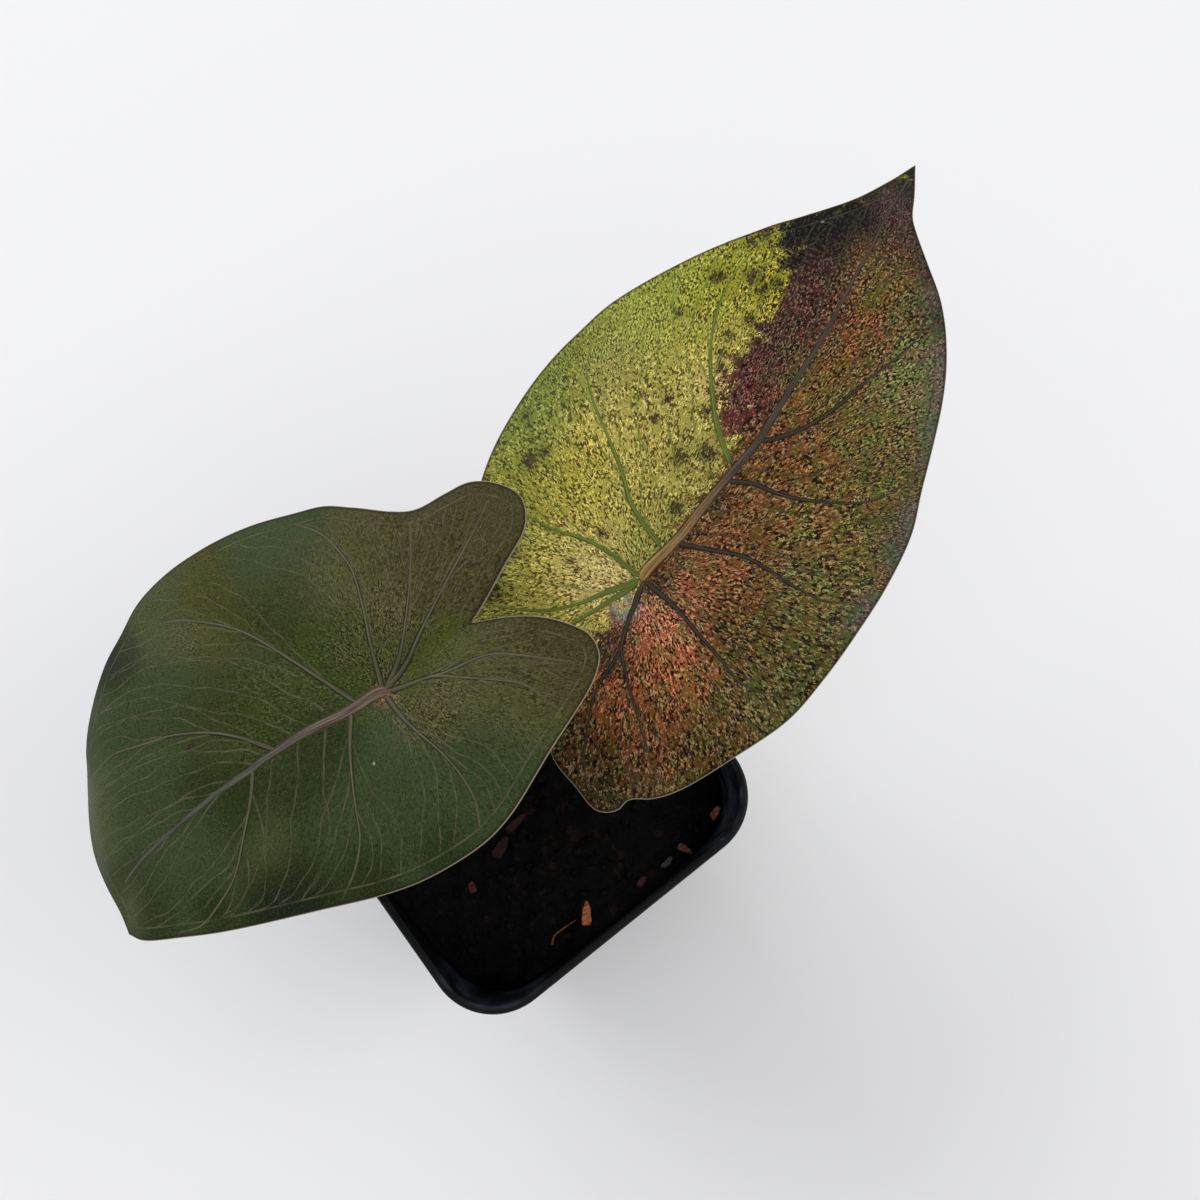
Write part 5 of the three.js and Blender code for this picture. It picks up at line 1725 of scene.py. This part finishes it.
# %% Make the bark
# Each bit has its length, width and height in millimetres, its turn and its tone.
BARK = {
    "bark_chip_front": ((4.8, 2.0, 1.6), 52, "a9633c"),
    "bark_chip_right": ((3.2, 1.8, 1.3), 18, "9a5a38"),
    "bark_chip_side": ((3.4, 1.5, 1.2), -66, "5e4234"),
    "bark_chip_grey": ((3.2, 1.4, 1.2), 8, "48423c"),
    "bark_chip_red": ((2.6, 1.4, 1.2), 14, "3c1f1a"),
    "bark_chip_inner": ((5, 2.4, 1.6), 22, "26110d"),
    "bark_chip_long": ((5.2, 1.5, 1.3), 6, "35150f"),
    "bark_chip_left": ((2.4, 1.6, 1.2), 70, "501c16"),
}
BARK_CUTS = 7
BARK_SHRINK = 0.85
BARK_ROUNDING = 0.35
BARK_TAPER = 0.5
GRAIN_PITCH = (0.4, 2.2, 2.2)
GRAIN_DEPTH = 0.16
LUMP_PITCH = (0.8, 0.8, 1.0)
LUMP_DEPTH = 0.3
SEED_STEP = 3.7
FIBRE_STRETCH = (0.5, 3.0, 3.0)
BARK_SHADE = 0.35
BARK_ROUGHNESS = 0.85
BARK_SPECULAR = 0.2


def bark_material(name, tone):
    """Dry fibres of one tone, darker in the splits between them."""
    material, tree, shader = new_material(name)
    streak = noise_at(tree, stretched(tree, object_place(tree), FIBRE_STRETCH), 1.2, 4.0, 0.65)
    shade = scaled(tree, colour(tone, alpha=False), BARK_SHADE)
    skin = mix_colours(tree, soft_step(tree, streak, 0.42, 0.62), shade, colour(tone))
    fill_sockets(tree, shader.inputs, {
        "Base Color": skin, "Roughness": BARK_ROUGHNESS, "Specular IOR Level": BARK_SPECULAR})
    add_bump(tree, shader, streak, 0.2, 0.9)
    return material


def bark_bmesh(name, size, turn, seed):
    """One splinter of bark in millimetres, in the place of its solid."""
    bm = bmesh.new()
    bmesh.ops.create_cube(bm, size=1.0)
    bmesh.ops.subdivide_edges(bm, edges=bm.edges, cuts=BARK_CUTS, use_grid_fill=True)
    for vert in bm.verts:
        shape = Vector(vert.co)
        shrink = BARK_SHRINK - BARK_ROUNDING * (2 * abs(shape.x)) ** 3 - BARK_TAPER * shape.x
        shape.y *= shrink
        shape.z *= shrink
        shape = shape * Vector(size)
        grain = noise.noise(shape * Vector(GRAIN_PITCH) + Vector((0, 0, seed)))
        lump = noise.noise(shape * Vector(LUMP_PITCH) + Vector((0, seed, 0)))
        vert.co = shape * (1 + GRAIN_DEPTH * grain + LUMP_DEPTH * lump)
    bmesh.ops.smooth_vert(bm, verts=bm.verts, factor=0.3, use_axis_x=True, use_axis_y=True,
                          use_axis_z=True)
    low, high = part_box(name)
    middle = (low + high) / 2 / MM
    bm.transform(Matrix.Translation(middle) @ Matrix.Rotation(math.radians(turn), 4, "Z"))
    return bm


for seed, (name, (size, turn, tone)) in enumerate(BARK.items()):
    skin = bark_material(name.replace("bark_chip", "bark"), tone)
    make_piece(name + "_split", bark_bmesh(name, size, turn, SEED_STEP * seed), skin, [name])

# %% Make the root fibre
FIBRE_PATH = [(-16.3, -33.3), (-14.9, -32.2), (-12, -32.1), (-9, -32.4)]
FIBRE_RADIUS = 0.22
FIBRE_LIFT = 1.0
FIBRE_STEPS = 60
FIBRE_SIDES = 14
FIBRE_END = 0.5
# Each set of knots has its height and its number along the fibre.
FIBRE_KNOTS = [(0.18, 0.9), (0.1, 2.3)]


def fibre_bmesh():
    """The dry root in millimetres, a thin knotty tube that lies on the mix."""
    flat = np.array(FIBRE_PATH)
    heights = soil_height(flat[:, 0], flat[:, 1]) + FIBRE_LIFT
    line = smooth_line(np.column_stack([flat, heights]), FIBRE_STEPS)

    def place(u, v):
        row = np.rint(u * FIBRE_STEPS).astype(int)
        swell = 1 + sum(height * np.sin(row * pitch) for height, pitch in FIBRE_KNOTS)
        slim = 1 - FIBRE_END * row / FIBRE_STEPS
        is_end = (row == 0) | (row == FIBRE_STEPS)
        radius = np.where(is_end, 0, FIBRE_RADIUS * swell * slim)
        return round_path(line, row, 2 * math.pi * v, radius)

    return shaped_grid(FIBRE_STEPS, FIBRE_SIDES, place)


fibre_skin = bark_material("dry_fibre", "8e4c2c")
make_piece("root_fibre_dry", fibre_bmesh(), fibre_skin, ["root_fibre"])

# %% [markdown]
# ## The corm
# The corm and its roots are out of sight in the mix. Their solid has the right shape, so it stays
# as it is and only gets a skin: brown, ringed and fibrous.

# %% Give the corm its skin
CORM_RINGS = (0.6, 0.6, 2.5)
corm_skin, tree, shader = new_material("corm_skin")
rings = noise_at(tree, stretched(tree, object_place(tree), CORM_RINGS), 0.5, 4.0, 0.6)
brown = mix_colours(tree, soft_step(tree, rings, 0.4, 0.62), colour("3a281c"), colour("7a573c"))
fill_sockets(tree, shader.inputs, {"Base Color": brown, "Roughness": 0.9})
add_bump(tree, shader, rings, 0.3, 0.8)
corm = nodes["corm_with_roots"]
corm.data.materials.clear()
corm.data.materials.append(corm_skin)
print("corm skin:", corm_skin.name)
